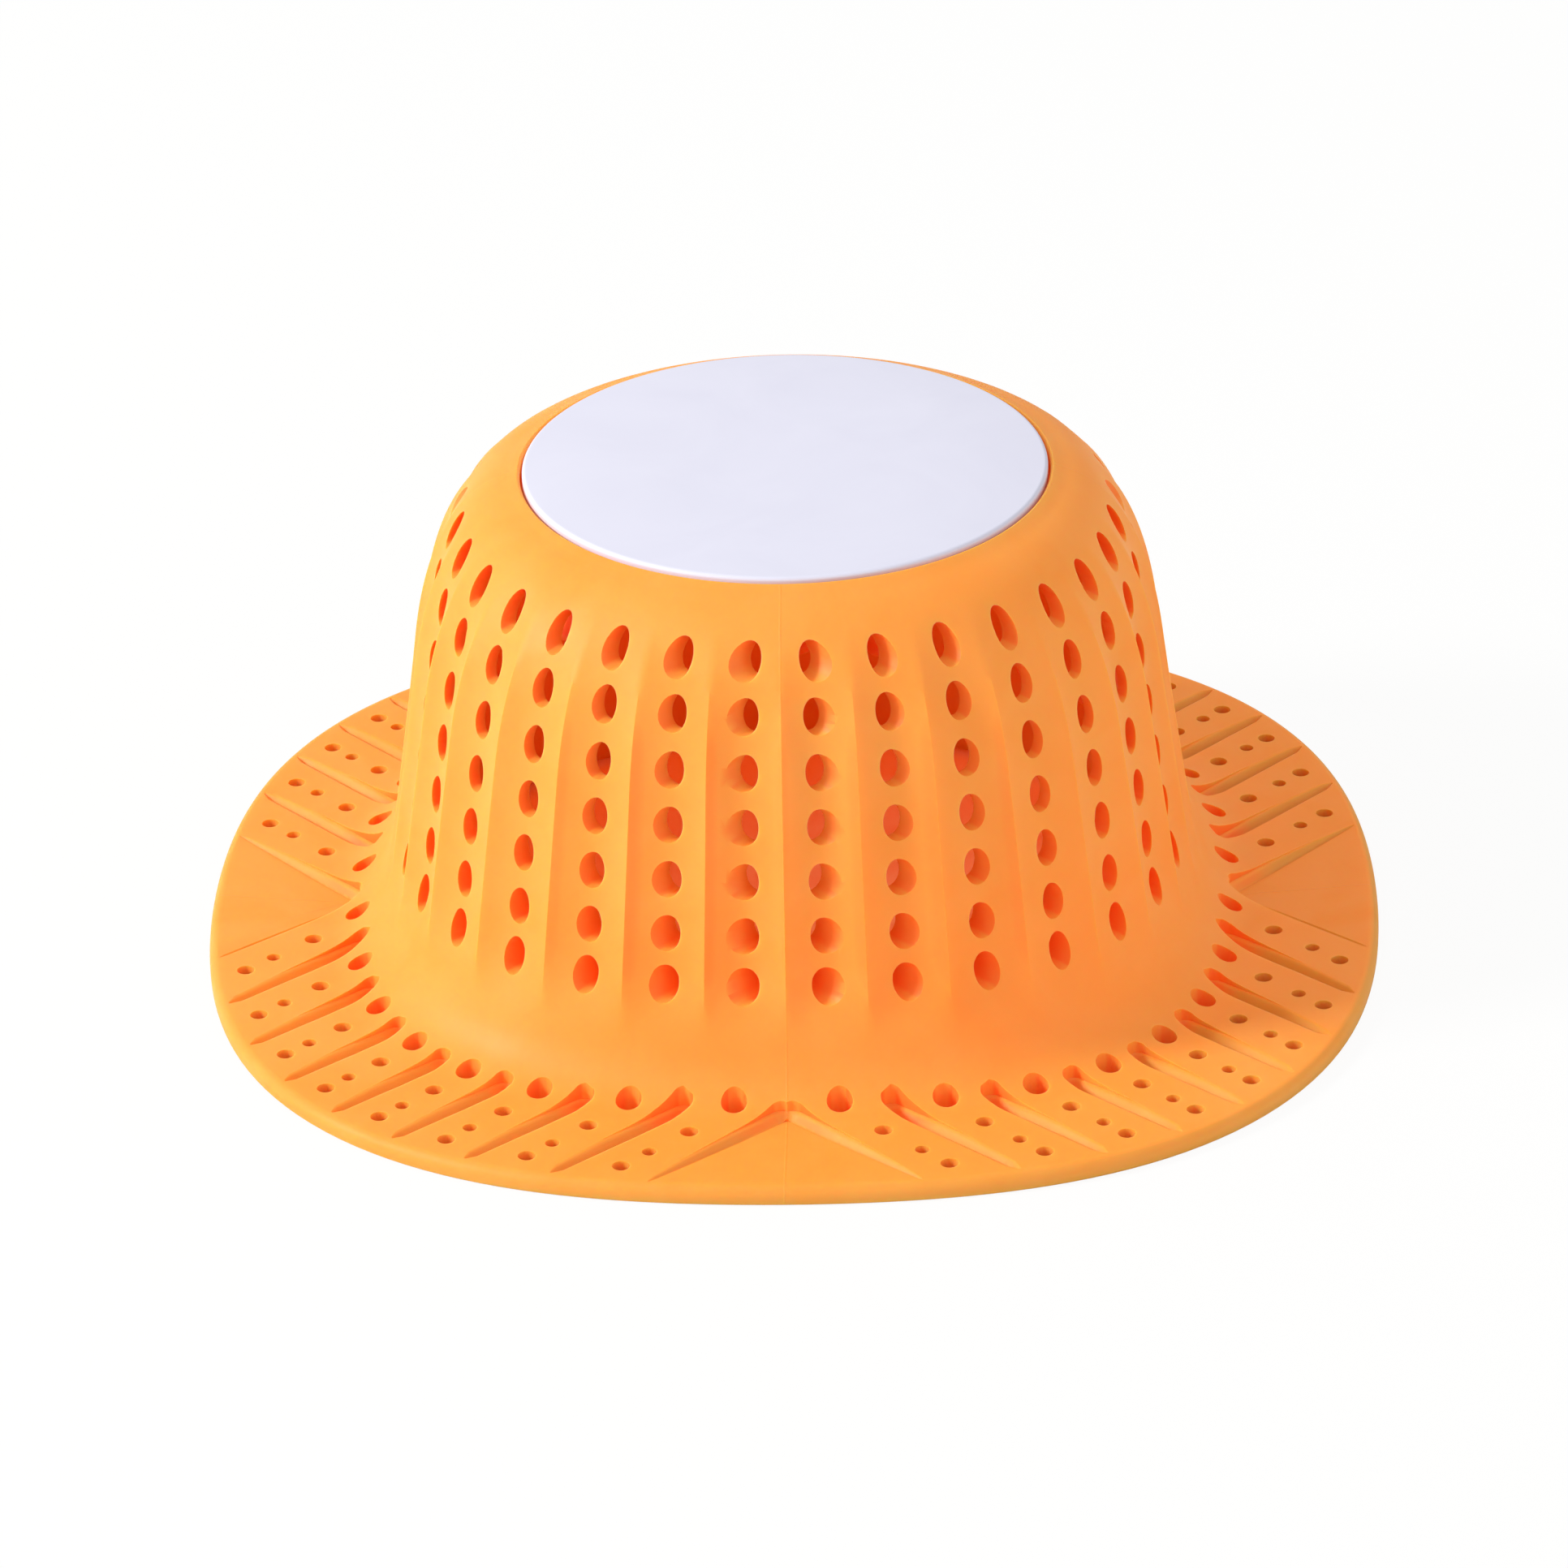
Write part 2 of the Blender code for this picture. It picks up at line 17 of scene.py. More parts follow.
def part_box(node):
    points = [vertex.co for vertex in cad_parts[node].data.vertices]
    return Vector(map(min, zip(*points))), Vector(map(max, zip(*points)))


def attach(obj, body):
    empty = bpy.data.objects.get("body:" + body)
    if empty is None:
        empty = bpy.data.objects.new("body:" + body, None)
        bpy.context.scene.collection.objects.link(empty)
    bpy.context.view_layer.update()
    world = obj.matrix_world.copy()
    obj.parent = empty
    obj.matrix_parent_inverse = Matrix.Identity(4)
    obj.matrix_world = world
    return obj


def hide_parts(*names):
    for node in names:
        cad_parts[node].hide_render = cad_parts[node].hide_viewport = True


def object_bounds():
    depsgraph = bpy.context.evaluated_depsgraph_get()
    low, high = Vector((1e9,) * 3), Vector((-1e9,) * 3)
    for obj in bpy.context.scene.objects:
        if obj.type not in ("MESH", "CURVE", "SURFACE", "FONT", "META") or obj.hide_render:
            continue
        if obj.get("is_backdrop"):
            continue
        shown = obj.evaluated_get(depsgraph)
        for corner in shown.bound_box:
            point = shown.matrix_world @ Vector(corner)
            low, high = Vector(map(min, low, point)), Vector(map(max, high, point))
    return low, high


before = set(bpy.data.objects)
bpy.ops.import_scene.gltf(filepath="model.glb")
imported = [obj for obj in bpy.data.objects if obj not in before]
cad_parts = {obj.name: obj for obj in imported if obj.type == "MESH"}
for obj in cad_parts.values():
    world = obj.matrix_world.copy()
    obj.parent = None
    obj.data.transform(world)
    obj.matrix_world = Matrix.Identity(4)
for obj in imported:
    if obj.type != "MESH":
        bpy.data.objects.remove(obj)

MM = 0.001
CAD_BOX = [list(corner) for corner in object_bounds()]
print("pieces in the packed model:", sorted(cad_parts))

# %% [markdown]
# The driving sizes
#
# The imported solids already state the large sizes: how wide the brim is, how high the crown stands and
# how large the cap is. They are read here, so that the fine surface can't drift away from the solids.
# The brim's outline is a circle drawn in at its four flats, and its mean radius follows from its width.

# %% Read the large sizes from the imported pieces
BODY_LOW, BODY_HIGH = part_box("strainer_body")
CAP_LOW, CAP_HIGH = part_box("cap_disc")
FLATS = 4
QUARTER_TURN = 2 * math.pi / FLATS
SQUARENESS_SHARE = 0.0334
FLAT_RADIUS = (BODY_HIGH.x - BODY_LOW.x) / 2
RIM_RADIUS = FLAT_RADIUS / (1 - SQUARENESS_SHARE)
LIP_HEIGHT = BODY_HIGH.z
CAP_RADIUS = CAP_HIGH.x
CAP_TOP_HEIGHT = CAP_HIGH.z
TOUCH_GAP = 0.3 * MM
print(f"mean brim radius {RIM_RADIUS / MM:.2f} mm, lip {LIP_HEIGHT / MM:.2f} mm high")
print(f"cap radius {CAP_RADIUS / MM:.2f} mm, its face {CAP_TOP_HEIGHT / MM:.2f} mm high")

# %% [markdown]
# The camera
#
# A product photograph like this one is taken with a long lens from a little above, which keeps the
# ellipses of the cap and the brim calm. The camera is placed first, so that every later render can be
# held against the same view. Its small roll is how the object leans in the picture.

# %% Place the camera
CAMERA_PLACE = Vector((0.0206, -0.7924, 0.4327))
CAMERA_TILT = math.radians(62.33)
CAMERA_TURN = 0.0272
CAMERA_ROLL = -0.0225
CAMERA_LENS = 168.4
SENSOR_WIDTH = 36.0

view_data = bpy.data.cameras.new("camera")
view_data.lens = CAMERA_LENS
view_data.sensor_width = SENSOR_WIDTH
camera = bpy.data.objects.new("camera", view_data)
turn = Matrix.Rotation(CAMERA_TURN, 4, "Z") @ Matrix.Rotation(CAMERA_TILT, 4, "X")
camera.matrix_world = Matrix.Translation(CAMERA_PLACE) @ turn @ Matrix.Rotation(CAMERA_ROLL, 4, "Z")
bpy.context.scene.collection.objects.link(camera)
bpy.context.scene.camera = camera
bpy.context.scene.view_settings.view_transform = "Standard"
print("camera", [round(value, 3) for value in camera.location], "lens", CAMERA_LENS)

# %% [markdown]
# Helpers for node trees
#
# Both the shapes and the finishes below are node trees, and a few small helpers keep them short. Some
# start and end a tree with named inputs and outputs. One adds a node with its settings and links in a
# single call, and the others add the sums that come up again and again. Two more turn what the script
# has built into a mesh and an object.

# %% Make trees and nodes in one call each
SOCKETS = {
    "geometry": "NodeSocketGeometry",
    "number": "NodeSocketFloat",
    "count": "NodeSocketInt",
    "vector": "NodeSocketVector",
    "object": "NodeSocketObject",
    "material": "NodeSocketMaterial",
}


def new_tree(name, kind, inputs, outputs):
    """A node tree with named inputs and outputs, and its two end nodes."""
    tree = bpy.data.node_groups.new(name, kind)
    for direction, sockets in (("INPUT", inputs), ("OUTPUT", outputs)):
        for label, socket in sockets:
            tree.interface.new_socket(name=label, in_out=direction, socket_type=SOCKETS[socket])
    start = tree.nodes.new("NodeGroupInput")
    end = tree.nodes.new("NodeGroupOutput")
    return tree, start.outputs, end.inputs


def shape_tree(name, **sockets):
    """A tree that changes a skin. Each kind of input is given with its labels."""
    inputs = [(label, kind) for kind, labels in sockets.items() for label in labels]
    inputs = [("Skin", "geometry"), *inputs, ("Material", "material")]
    return new_tree(name, "GeometryNodeTree", inputs, [("Skin", "geometry")])


def set_inputs(tree, node, inputs):
    """Gives each input its value or the output that feeds it."""
    for socket, value in inputs.items():
        if isinstance(value, bpy.types.NodeSocket):
            tree.links.new(value, node.inputs[socket])
        else:
            node.inputs[socket].default_value = value


def add_node(tree, kind, inputs=None, **settings):
    """One node with its settings and its inputs."""
    node = tree.nodes.new(kind)
    for name, value in settings.items():
        setattr(node, name, value)
    set_inputs(tree, node, inputs or {})
    return node


def sum_node(tree, operation, first, second=0.0, clamp=False):
    """The result of one sum in a tree."""
    node = add_node(tree, "ShaderNodeMath", {0: first, 1: second}, operation=operation)
    node.use_clamp = clamp
    return node.outputs[0]


def product(tree, *factors):
    """The product of two or more numbers."""
    result = factors[0]
    for factor in factors[1:]:
        result = sum_node(tree, "MULTIPLY", result, factor)
    return result


def parts_of(tree, vector):
    """The X, Y and Z of a vector."""
    return add_node(tree, "ShaderNodeSeparateXYZ", {0: vector}).outputs


def vector_of(tree, x=0.0, y=0.0, z=0.0):
    return add_node(tree, "ShaderNodeCombineXYZ", {0: x, 1: y, 2: z}).outputs[0]


def distance_from_axis(tree, parts):
    """How far a place is from the upright axis, and the place moved down to the floor."""
    level = vector_of(tree, parts["X"], parts["Y"])
    radius = add_node(tree, "ShaderNodeVectorMath", {0: level}, operation="LENGTH").outputs["Value"]
    return radius, level


def ranged_value(tree, value, low=0.0, high=1.0, start=0.0, end=1.0):
    """A value that runs from low to high as its input runs from start to end."""
    inputs = {"Value": value, "From Min": start, "From Max": end, "To Min": low, "To Max": high}
    return add_node(tree, "ShaderNodeMapRange", inputs).outputs[0]


def made_real(tree, shape):
    """A shape whose instances are made real."""
    return add_node(tree, "GeometryNodeRealizeInstances", {0: shape}).outputs[0]


def end_tree(tree, shape, given, result):
    """Ends a tree that changes a skin: makes the shape real and gives it its material."""
    faced = {"Geometry": made_real(tree, shape), "Material": given["Material"]}
    tree.links.new(add_node(tree, "GeometryNodeSetMaterial", faced).outputs[0], result[0])


def cut_off(tree, body, cutter):
    """The body with the cutter taken off."""
    cut = {"Mesh 1": body, "Mesh 2": cutter}
    return add_node(tree, "GeometryNodeMeshBoolean", cut, solver="MANIFOLD").outputs[0]


def object_shape(tree, thing):
    """The mesh of another object."""
    return add_node(tree, "GeometryNodeObjectInfo", {"Object": thing}).outputs["Geometry"]


def add_tree(piece, tree, values):
    """Adds a tree as a modifier, and sets its inputs by the names that the tree gives them."""
    modifier = piece.modifiers.new(tree.name, "NODES")
    modifier.node_group = tree
    for item in tree.interface.items_tree:
        if item.in_out == "INPUT" and item.name in values:
            modifier[item.identifier] = values[item.name]


print("node helpers ready")


# %% Make a mesh and an object in one call each
def closed_mesh(shape, name):
    """The mesh of a closed bmesh, with its faces turned outwards."""
    bmesh.ops.recalc_face_normals(shape, faces=shape.faces)
    mesh = bpy.data.meshes.new(name)
    shape.to_mesh(mesh)
    shape.free()
    return mesh


def new_object(name, data):
    piece = bpy.data.objects.new(name, data)
    bpy.context.scene.collection.objects.link(piece)
    return piece


print("mesh helpers ready")

# %% [markdown]
# The profile of the moulding
#
# The hat is one soft moulding. Seen in section it has a recess for the cap, a narrow lip, a round
# shoulder, a drafted wall, a wide fillet and a thin flat brim. The shoulder, the fillet and the inside
# are cubic curves, because a moulded hat has no corner there. The wall is thin half way up and thick
# at its foot, which shows in how deep the holes look.

# %% Sizes of the section
BRIM_THICKNESS = 2.3 * MM
RIM_TOP_ROUND = 1.2 * MM
RIM_LOW_ROUND = 0.4 * MM
FOOT_RADIUS = 50.5 * MM
FOOT_HEIGHT = 12.2 * MM
SHOULDER_RADIUS = 46.4 * MM
SHOULDER_HEIGHT = 38.0 * MM
FILLET_END_RADIUS = 59.5 * MM
LIP_WIDTH = 1.6 * MM
LIP_ROUND = 0.35 * MM
WEB_THICKNESS = 1.8 * MM
WEB_HOLE_RADIUS = 24.0 * MM
CAP_THICKNESS = 2.0 * MM
RECESS_RADIUS = CAP_RADIUS + TOUCH_GAP
LIP_RADIUS = RECESS_RADIUS + LIP_WIDTH
WEB_TOP = CAP_TOP_HEIGHT - CAP_THICKNESS - TOUCH_GAP
WEB_BOTTOM = WEB_TOP - WEB_THICKNESS
DRAFT_SHARE = (FOOT_RADIUS - SHOULDER_RADIUS) / (SHOULDER_HEIGHT - FOOT_HEIGHT)
print(f"recess {RECESS_RADIUS / MM:.1f} mm, lip {LIP_RADIUS / MM:.1f} mm, draft {DRAFT_SHARE:.3f}")


# %% The curves of the section
def cubic(points, share):
    """A point on the cubic curve that four (radius, height) points give."""
    rest = 1 - share
    weights = (rest**3, 3 * rest**2 * share, 3 * rest * share**2, share**3)
    return tuple(sum(w * p[axis] for w, p in zip(weights, points)) for axis in (0, 1))


def curve_points(points, steps):
    """Points from one end of a cubic curve to the other."""
    return [cubic(points, step / steps) for step in range(steps + 1)]


SHOULDER_RISE = LIP_HEIGHT - SHOULDER_HEIGHT
SHOULDER_LOW_HANDLE_SHARE = 0.5
SHOULDER_HIGH_HANDLE_SHARE = 0.52
SHOULDER_HIGH_DROP_SHARE = 0.12
LIP_FALL = 0.55 * MM
up = SHOULDER_RISE * SHOULDER_LOW_HANDLE_SHARE
SHOULDER = (
    (SHOULDER_RADIUS, SHOULDER_HEIGHT),
    (SHOULDER_RADIUS - up * DRAFT_SHARE, SHOULDER_HEIGHT + up),
    (
        LIP_RADIUS + (SHOULDER_RADIUS - LIP_RADIUS) * SHOULDER_HIGH_HANDLE_SHARE,
        LIP_HEIGHT - SHOULDER_RISE * SHOULDER_HIGH_DROP_SHARE,
    ),
    (LIP_RADIUS, LIP_HEIGHT - LIP_FALL),
)

FILLET_DROP = FOOT_HEIGHT - BRIM_THICKNESS
FILLET_RUN = FILLET_END_RADIUS - FOOT_RADIUS
FILLET_HIGH_HANDLE_SHARE = 0.63
FILLET_LOW_HANDLE_SHARE = 0.62
down = FILLET_DROP * FILLET_HIGH_HANDLE_SHARE
FILLET = (
    (FOOT_RADIUS, FOOT_HEIGHT),
    (FOOT_RADIUS + down * DRAFT_SHARE, FOOT_HEIGHT - down),
    (FILLET_END_RADIUS - FILLET_RUN * FILLET_LOW_HANDLE_SHARE, BRIM_THICKNESS),
    (FILLET_END_RADIUS, BRIM_THICKNESS),
)

INNER_RADIUS = 44.0 * MM
INNER_FOOT_HEIGHT = 3.0 * MM
INNER_LOW_HANDLE = (45.0 * MM, 20.0 * MM)
INNER_HIGH_HANDLE = (46.9 * MM, 48.0 * MM)
INNER_END_RADIUS = 35.0 * MM
INSIDE = (
    (INNER_RADIUS, INNER_FOOT_HEIGHT),
    INNER_LOW_HANDLE,
    INNER_HIGH_HANDLE,
    (INNER_END_RADIUS, WEB_BOTTOM),
)
print("shoulder, fillet and inside are three cubic curves")


# %% The outer and inner profiles
def arc(centre, size, start, end, steps):
    """Points on an arc about a (radius, height) centre, between two angles in degrees."""
    points = []
    for step in range(steps + 1):
        angle = math.radians(start + (end - start) * step / steps)
        points.append((centre[0] + size * math.cos(angle), centre[1] + size * math.sin(angle)))
    return points


def stretch(start, end, steps):
    """Points between two ends, with neither end among them."""
    shares = [step / steps for step in range(1, steps)]
    return [tuple(a + (b - a) * share for a, b in zip(start, end)) for share in shares]


LIP_BEAD_INSET = 0.25 * MM
LIP_BEAD_HEIGHT = 0.14 * MM
SHOULDER_STEPS = 24
WALL_STEPS = 13
FILLET_STEPS = 14
BRIM_STEPS = 9
RIM_STEPS = 7
INSIDE_STEPS = 22
UNDERSIDE_STEPS = 6
CORNER_STEPS = 4


def outer_profile():
    """From the web's hole over the lip and the shoulder and down to the brim's edge."""
    points = [(WEB_HOLE_RADIUS, WEB_TOP), (RECESS_RADIUS - LIP_ROUND, WEB_TOP), (RECESS_RADIUS, WEB_TOP)]
    lip_centre = (RECESS_RADIUS + LIP_ROUND, LIP_HEIGHT - LIP_ROUND)
    points += arc(lip_centre, LIP_ROUND, 180, 90, CORNER_STEPS)
    points.append((LIP_RADIUS - LIP_BEAD_INSET, LIP_HEIGHT - LIP_FALL + LIP_BEAD_HEIGHT))
    points += reversed(curve_points(SHOULDER, SHOULDER_STEPS))
    points += stretch((SHOULDER_RADIUS, SHOULDER_HEIGHT), (FOOT_RADIUS, FOOT_HEIGHT), WALL_STEPS)
    points += curve_points(FILLET, FILLET_STEPS)
    brim_end = (RIM_RADIUS - RIM_TOP_ROUND, BRIM_THICKNESS)
    points += stretch((FILLET_END_RADIUS, BRIM_THICKNESS), brim_end, BRIM_STEPS)
    rim_centre = (RIM_RADIUS - RIM_TOP_ROUND, BRIM_THICKNESS - RIM_TOP_ROUND)
    points += arc(rim_centre, RIM_TOP_ROUND, 90, 0, RIM_STEPS)
    return points


def inner_profile():
    """From the brim's lower edge in along the underside and up the inside to the web's hole."""
    points = arc((RIM_RADIUS - RIM_LOW_ROUND, RIM_LOW_ROUND), RIM_LOW_ROUND, 0, -90, CORNER_STEPS - 1)
    foot_radius = INNER_RADIUS + INNER_FOOT_HEIGHT
    points += stretch((RIM_RADIUS - RIM_LOW_ROUND, 0.0), (foot_radius, 0.0), UNDERSIDE_STEPS)
    points += arc((foot_radius, INNER_FOOT_HEIGHT), INNER_FOOT_HEIGHT, 270, 180, CORNER_STEPS)
    points += curve_points(INSIDE, INSIDE_STEPS)[1:]
    points.append((WEB_HOLE_RADIUS, WEB_BOTTOM))
    return points


print(len(outer_profile()), "points outside,", len(inner_profile()), "points inside")

# %% [markdown]
# The turned skin
#
# The profile is first turned into a plain round hat. The outside gets twelve columns of faces for each
# flute, and the inside, which nobody sees closely, gets six. The two meet at the brim's edge and at the
# web's hole, where each coarse edge is shared by two fine ones. A number on each point says whether it
# lies on the fluted side, and the node tree after this reads it.

# %% Turn the profile into a closed skin
FLUTE_COUNT = 32
FINE_STEPS = 12 * FLUTE_COUNT
COARSE_STEPS = 6 * FLUTE_COUNT


def ring_of(shape, radius, height, steps):
    angles = [2 * math.pi * step / steps for step in range(steps)]
    return [shape.verts.new((radius * math.cos(a), radius * math.sin(a), height)) for a in angles]


def join_rings(shape, first, second):
    """Faces between two rings. A fine ring has twice as many points as a coarse one."""
    count = min(len(first), len(second))
    for step in range(count):
        after = step + 1
        if len(first) == len(second):
            around = (first[step], first[after % count], second[after % count], second[step])
            shape.faces.new(around)
            continue
        coarse, fine = sorted((first, second), key=len)
        left, middle, right = (fine[(2 * step + i) % len(fine)] for i in range(3))
        near, far = coarse[step], coarse[after % count]
        for corners in ((left, middle, near), (middle, far, near), (middle, right, far)):
            shape.faces.new(corners)


def turned_skin(name):
    shape = bmesh.new()
    fluted = shape.verts.layers.float.new("fluted")
    rings = []
    for profile, steps, mark in ((outer_profile(), FINE_STEPS, 1.0), (inner_profile(), COARSE_STEPS, 0.0)):
        for radius, height in profile:
            ring = ring_of(shape, radius, height, steps)
            for point in ring:
                point[fluted] = mark
            rings.append(ring)
    for first, second in zip(rings, rings[1:] + rings[:1]):
        join_rings(shape, first, second)
    return new_object(name, closed_mesh(shape, name))


skin = turned_skin("soft_hat")
print("turned skin:", len(skin.data.polygons), "faces")

# %% [markdown]
# Flutes and flats
#
# The wall has 32 hollow flutes with fairly sharp ridges between them, and both the brim and the wall
# are drawn in a little at four flats. Both follow a rule, so one Geometry Nodes tree moves the points.
# It works out each point's angle round the axis, draws the radius in at the flats, and takes off a
# hollow that is a parabola across each flute. The hollow grows steadily below the shoulder and dies
# away in the fillet.

# %% The tree that shapes the skin
ROUNDING_POWER = 4


def flute_tree():
    numbers = ["Squareness", "Lip Height", "Flutes", "Flute Depth"]
    numbers += ["Flute Top", "Top Run", "Flute Foot", "Foot Run"]
    tree, given, result = shape_tree("shape_the_flutes", number=numbers)
    place = add_node(tree, "GeometryNodeInputPosition").outputs[0]
    parts = parts_of(tree, place)
    angle = sum_node(tree, "ARCTAN2", parts["Y"], parts["X"])
    radius, _ = distance_from_axis(tree, parts)

    rise = sum_node(tree, "DIVIDE", parts["Z"], given["Lip Height"], clamp=True)
    roundness = sum_node(tree, "SUBTRACT", 1.0, sum_node(tree, "POWER", rise, ROUNDING_POWER))
    wave = sum_node(tree, "COSINE", product(tree, angle, FLATS))
    drawn_in = product(tree, given["Squareness"], roundness, wave)
    outline = product(tree, radius, sum_node(tree, "SUBTRACT", 1.0, drawn_in))

    turns = product(tree, angle, sum_node(tree, "DIVIDE", given["Flutes"], 2 * math.pi))
    across = sum_node(tree, "SUBTRACT", sum_node(tree, "FRACT", turns), 0.5)
    across = product(tree, across, 2.0)
    hollow = sum_node(tree, "SUBTRACT", 1.0, product(tree, across, across))
    from_top = sum_node(tree, "SUBTRACT", given["Flute Top"], parts["Z"])
    top_fade = sum_node(tree, "DIVIDE", from_top, given["Top Run"], clamp=True)
    from_foot = sum_node(tree, "SUBTRACT", parts["Z"], given["Flute Foot"])
    foot_fade = sum_node(tree, "DIVIDE", from_foot, given["Foot Run"], clamp=True)
    mark = add_node(tree, "GeometryNodeInputNamedAttribute", {"Name": "fluted"}).outputs[0]
    depth = product(tree, given["Flute Depth"], hollow, top_fade, foot_fade, mark)

    scale = sum_node(tree, "DIVIDE", sum_node(tree, "SUBTRACT", outline, depth), radius)
    spread = vector_of(tree, scale, scale, 1.0)
    moved = add_node(tree, "ShaderNodeVectorMath", {0: place, 1: spread}, operation="MULTIPLY").outputs[0]
    set_place = add_node(tree, "GeometryNodeSetPosition", {"Geometry": given["Skin"], "Position": moved})
    end_tree(tree, set_place.outputs[0], given, result)
    return tree


FLUTE_DEPTH = 1.4 * MM
FLUTE_TOP_HEIGHT = 57.0 * MM
FLUTE_TOP_RUN = 13.0 * MM
FLUTE_FOOT_HEIGHT = 9.0 * MM
FLUTE_FOOT_RUN = 7.0 * MM
flute_sizes = {
    "Squareness": SQUARENESS_SHARE,
    "Lip Height": LIP_HEIGHT,
    "Flutes": float(FLUTE_COUNT),
    "Flute Depth": FLUTE_DEPTH,
    "Flute Top": FLUTE_TOP_HEIGHT,
    "Top Run": FLUTE_TOP_RUN,
    "Flute Foot": FLUTE_FOOT_HEIGHT,
    "Foot Run": FLUTE_FOOT_RUN,
}
soft_orange = bpy.data.materials.new("soft_orange_moulding")
flute_sizes["Material"] = soft_orange
add_tree(skin, flute_tree(), flute_sizes)
print("flutes:", FLUTE_COUNT, "of", FLUTE_DEPTH / MM, "mm")


# %% [markdown]
# Where the holes are
#
# Each quarter of the hat leaves its mould on a slide that moves along the quarter's diagonal, so all
# the wall holes of a quarter are parallel to that diagonal, and the brim's rows run along it too. The
# places are worked out here and kept as loose points. Each point carries the direction of its hole and of
# its tall side, which follows the slope of the wall. It also carries its shares of the full width and
# height, and a group number that keeps holes which would cross inside the hat apart. A hole that meets
# the wall at a slant is narrower, so that all mouths look alike.

# %% Where the wall is
HALVINGS = 30


def squareness_at(angle, height):
    drawn_in = SQUARENESS_SHARE * (1 - min(height / LIP_HEIGHT, 1.0) ** ROUNDING_POWER)
    return 1 - drawn_in * math.cos(FLATS * angle)


def ridge_radius(height):
    """The wall's radius on a ridge. On the shoulder's curve it is found by halving."""
    if height <= SHOULDER_HEIGHT:
        return SHOULDER_RADIUS + (SHOULDER_HEIGHT - height) * DRAFT_SHARE
    low, high = 0.0, 1.0
    for _ in range(HALVINGS):
        middle = (low + high) / 2
        if cubic(SHOULDER, middle)[1] < height:
            low = middle
        else:
            high = middle
    return cubic(SHOULDER, low)[0]


def valley_radius(angle, height):
    top_fade = min(max((FLUTE_TOP_HEIGHT - height) / FLUTE_TOP_RUN, 0.0), 1.0)
    foot_fade = min(max((height - FLUTE_FOOT_HEIGHT) / FLUTE_FOOT_RUN, 0.0), 1.0)
    return ridge_radius(height) * squareness_at(angle, height) - FLUTE_DEPTH * top_fade * foot_fade


print(f"the wall is {ridge_radius(LIP_HEIGHT / 2) / MM:.1f} mm from the axis half way up")


# %% Turn the rules into places
PLACE_ROUNDS = 8


def middle_angle(quarter):
    return (quarter + 0.5) * QUARTER_TURN


def diagonal(quarter):
    return Vector((math.cos(middle_angle(quarter)), math.sin(middle_angle(quarter)), 0.0))


def brim_place(quarter, offset, inset):
    """The place that is offset from the quarter's diagonal and inset from the rim."""
    middle = middle_angle(quarter)
    aside = 0.0
    for _ in range(PLACE_ROUNDS):
        distance = RIM_RADIUS * squareness_at(middle + aside, 0.0) - inset
        aside = math.asin(offset / distance)
    return Vector((distance * math.cos(middle + aside), distance * math.sin(middle + aside), 0.0))


def places_object(name, rows):
    """Loose points with two directions, shares of the full width and height and a group number."""
    mesh = bpy.data.meshes.new(name)
    mesh.from_pydata([row[0] for row in rows], [], [])
    for column, label in enumerate(("aim", "tall_side"), 1):
        directions = mesh.attributes.new(label, "FLOAT_VECTOR", "POINT")
        for item, row in zip(directions.data, rows):
            item.vector = row[column]
    for column, label in enumerate(("breadth", "tallness", "side"), 3):
        numbers = mesh.attributes.new(label, "FLOAT", "POINT")
        for item, row in zip(numbers.data, rows):
            item.value = row[column]
    return new_object(name, mesh)


print("the quarters meet at the flats, and their diagonals point at the corners")

# %% Place the holes on the wall and on the brim
ROW_HEIGHTS = [15.20 * MM]
END_ROW_PITCH = 6.05 * MM
ROW_PITCH = 6.62 * MM
for pitch in (END_ROW_PITCH, ROW_PITCH, ROW_PITCH, ROW_PITCH, ROW_PITCH, END_ROW_PITCH):
    ROW_HEIGHTS.append(ROW_HEIGHTS[-1] + pitch)

SLOPE_STEP = 0.5 * MM
TALL_SIDE_LEAN_SHARE = 1.25
SLANT_POWER = 0.5
wall_rows = []
for column in range(FLUTE_COUNT):
    angle = (column + 0.5) * 2 * math.pi / FLUTE_COUNT
    quarter = int(angle // QUARTER_TURN)
    slant = angle - middle_angle(quarter)
    breadth = math.cos(slant) ** SLANT_POWER
    for height in ROW_HEIGHTS:
        radius = valley_radius(angle, height)
        mouth = (radius * math.cos(angle), radius * math.sin(angle), height)
        fall = valley_radius(angle, height - SLOPE_STEP) - valley_radius(angle, height + SLOPE_STEP)
        fall *= TALL_SIDE_LEAN_SHARE
        slope = Vector((-fall * math.cos(angle), -fall * math.sin(angle), 2 * SLOPE_STEP))
        wall_rows.append((mouth, diagonal(quarter), slope.normalized(), breadth, 1.0, quarter % 2))
wall_places = places_object("wall_hole_places", wall_rows)

BRIM_ROWS = 8
BRIM_PITCH = 9.52 * MM
UPRIGHT = Vector((0.0, 0.0, 1.0))
DRAIN_INSET = 18.15 * MM
DRAIN_HOLE_SIZE = 3.1 * MM
SMALL_HOLES = ((12.75 * MM, 2.2 * MM), (7.8 * MM, 1.75 * MM), (4.25 * MM, 2.15 * MM))
drain_rows, small_rows = [], []
for quarter in range(FLATS):
    across = diagonal(quarter)
    for row in range(BRIM_ROWS):
        offset = (row - (BRIM_ROWS - 1) / 2) * BRIM_PITCH
        drain_rows.append((brim_place(quarter, offset, DRAIN_INSET), UPRIGHT, across, 1.0, 1.0, 0))
        for inset, size in SMALL_HOLES:
            place = brim_place(quarter, offset, inset)
            place.z = BRIM_THICKNESS
            share = size / DRAIN_HOLE_SIZE
            small_rows.append((place, UPRIGHT, across, share, share, 0))
drain_places = places_object("drain_hole_places", drain_rows)
small_places = places_object("small_hole_places", small_rows)
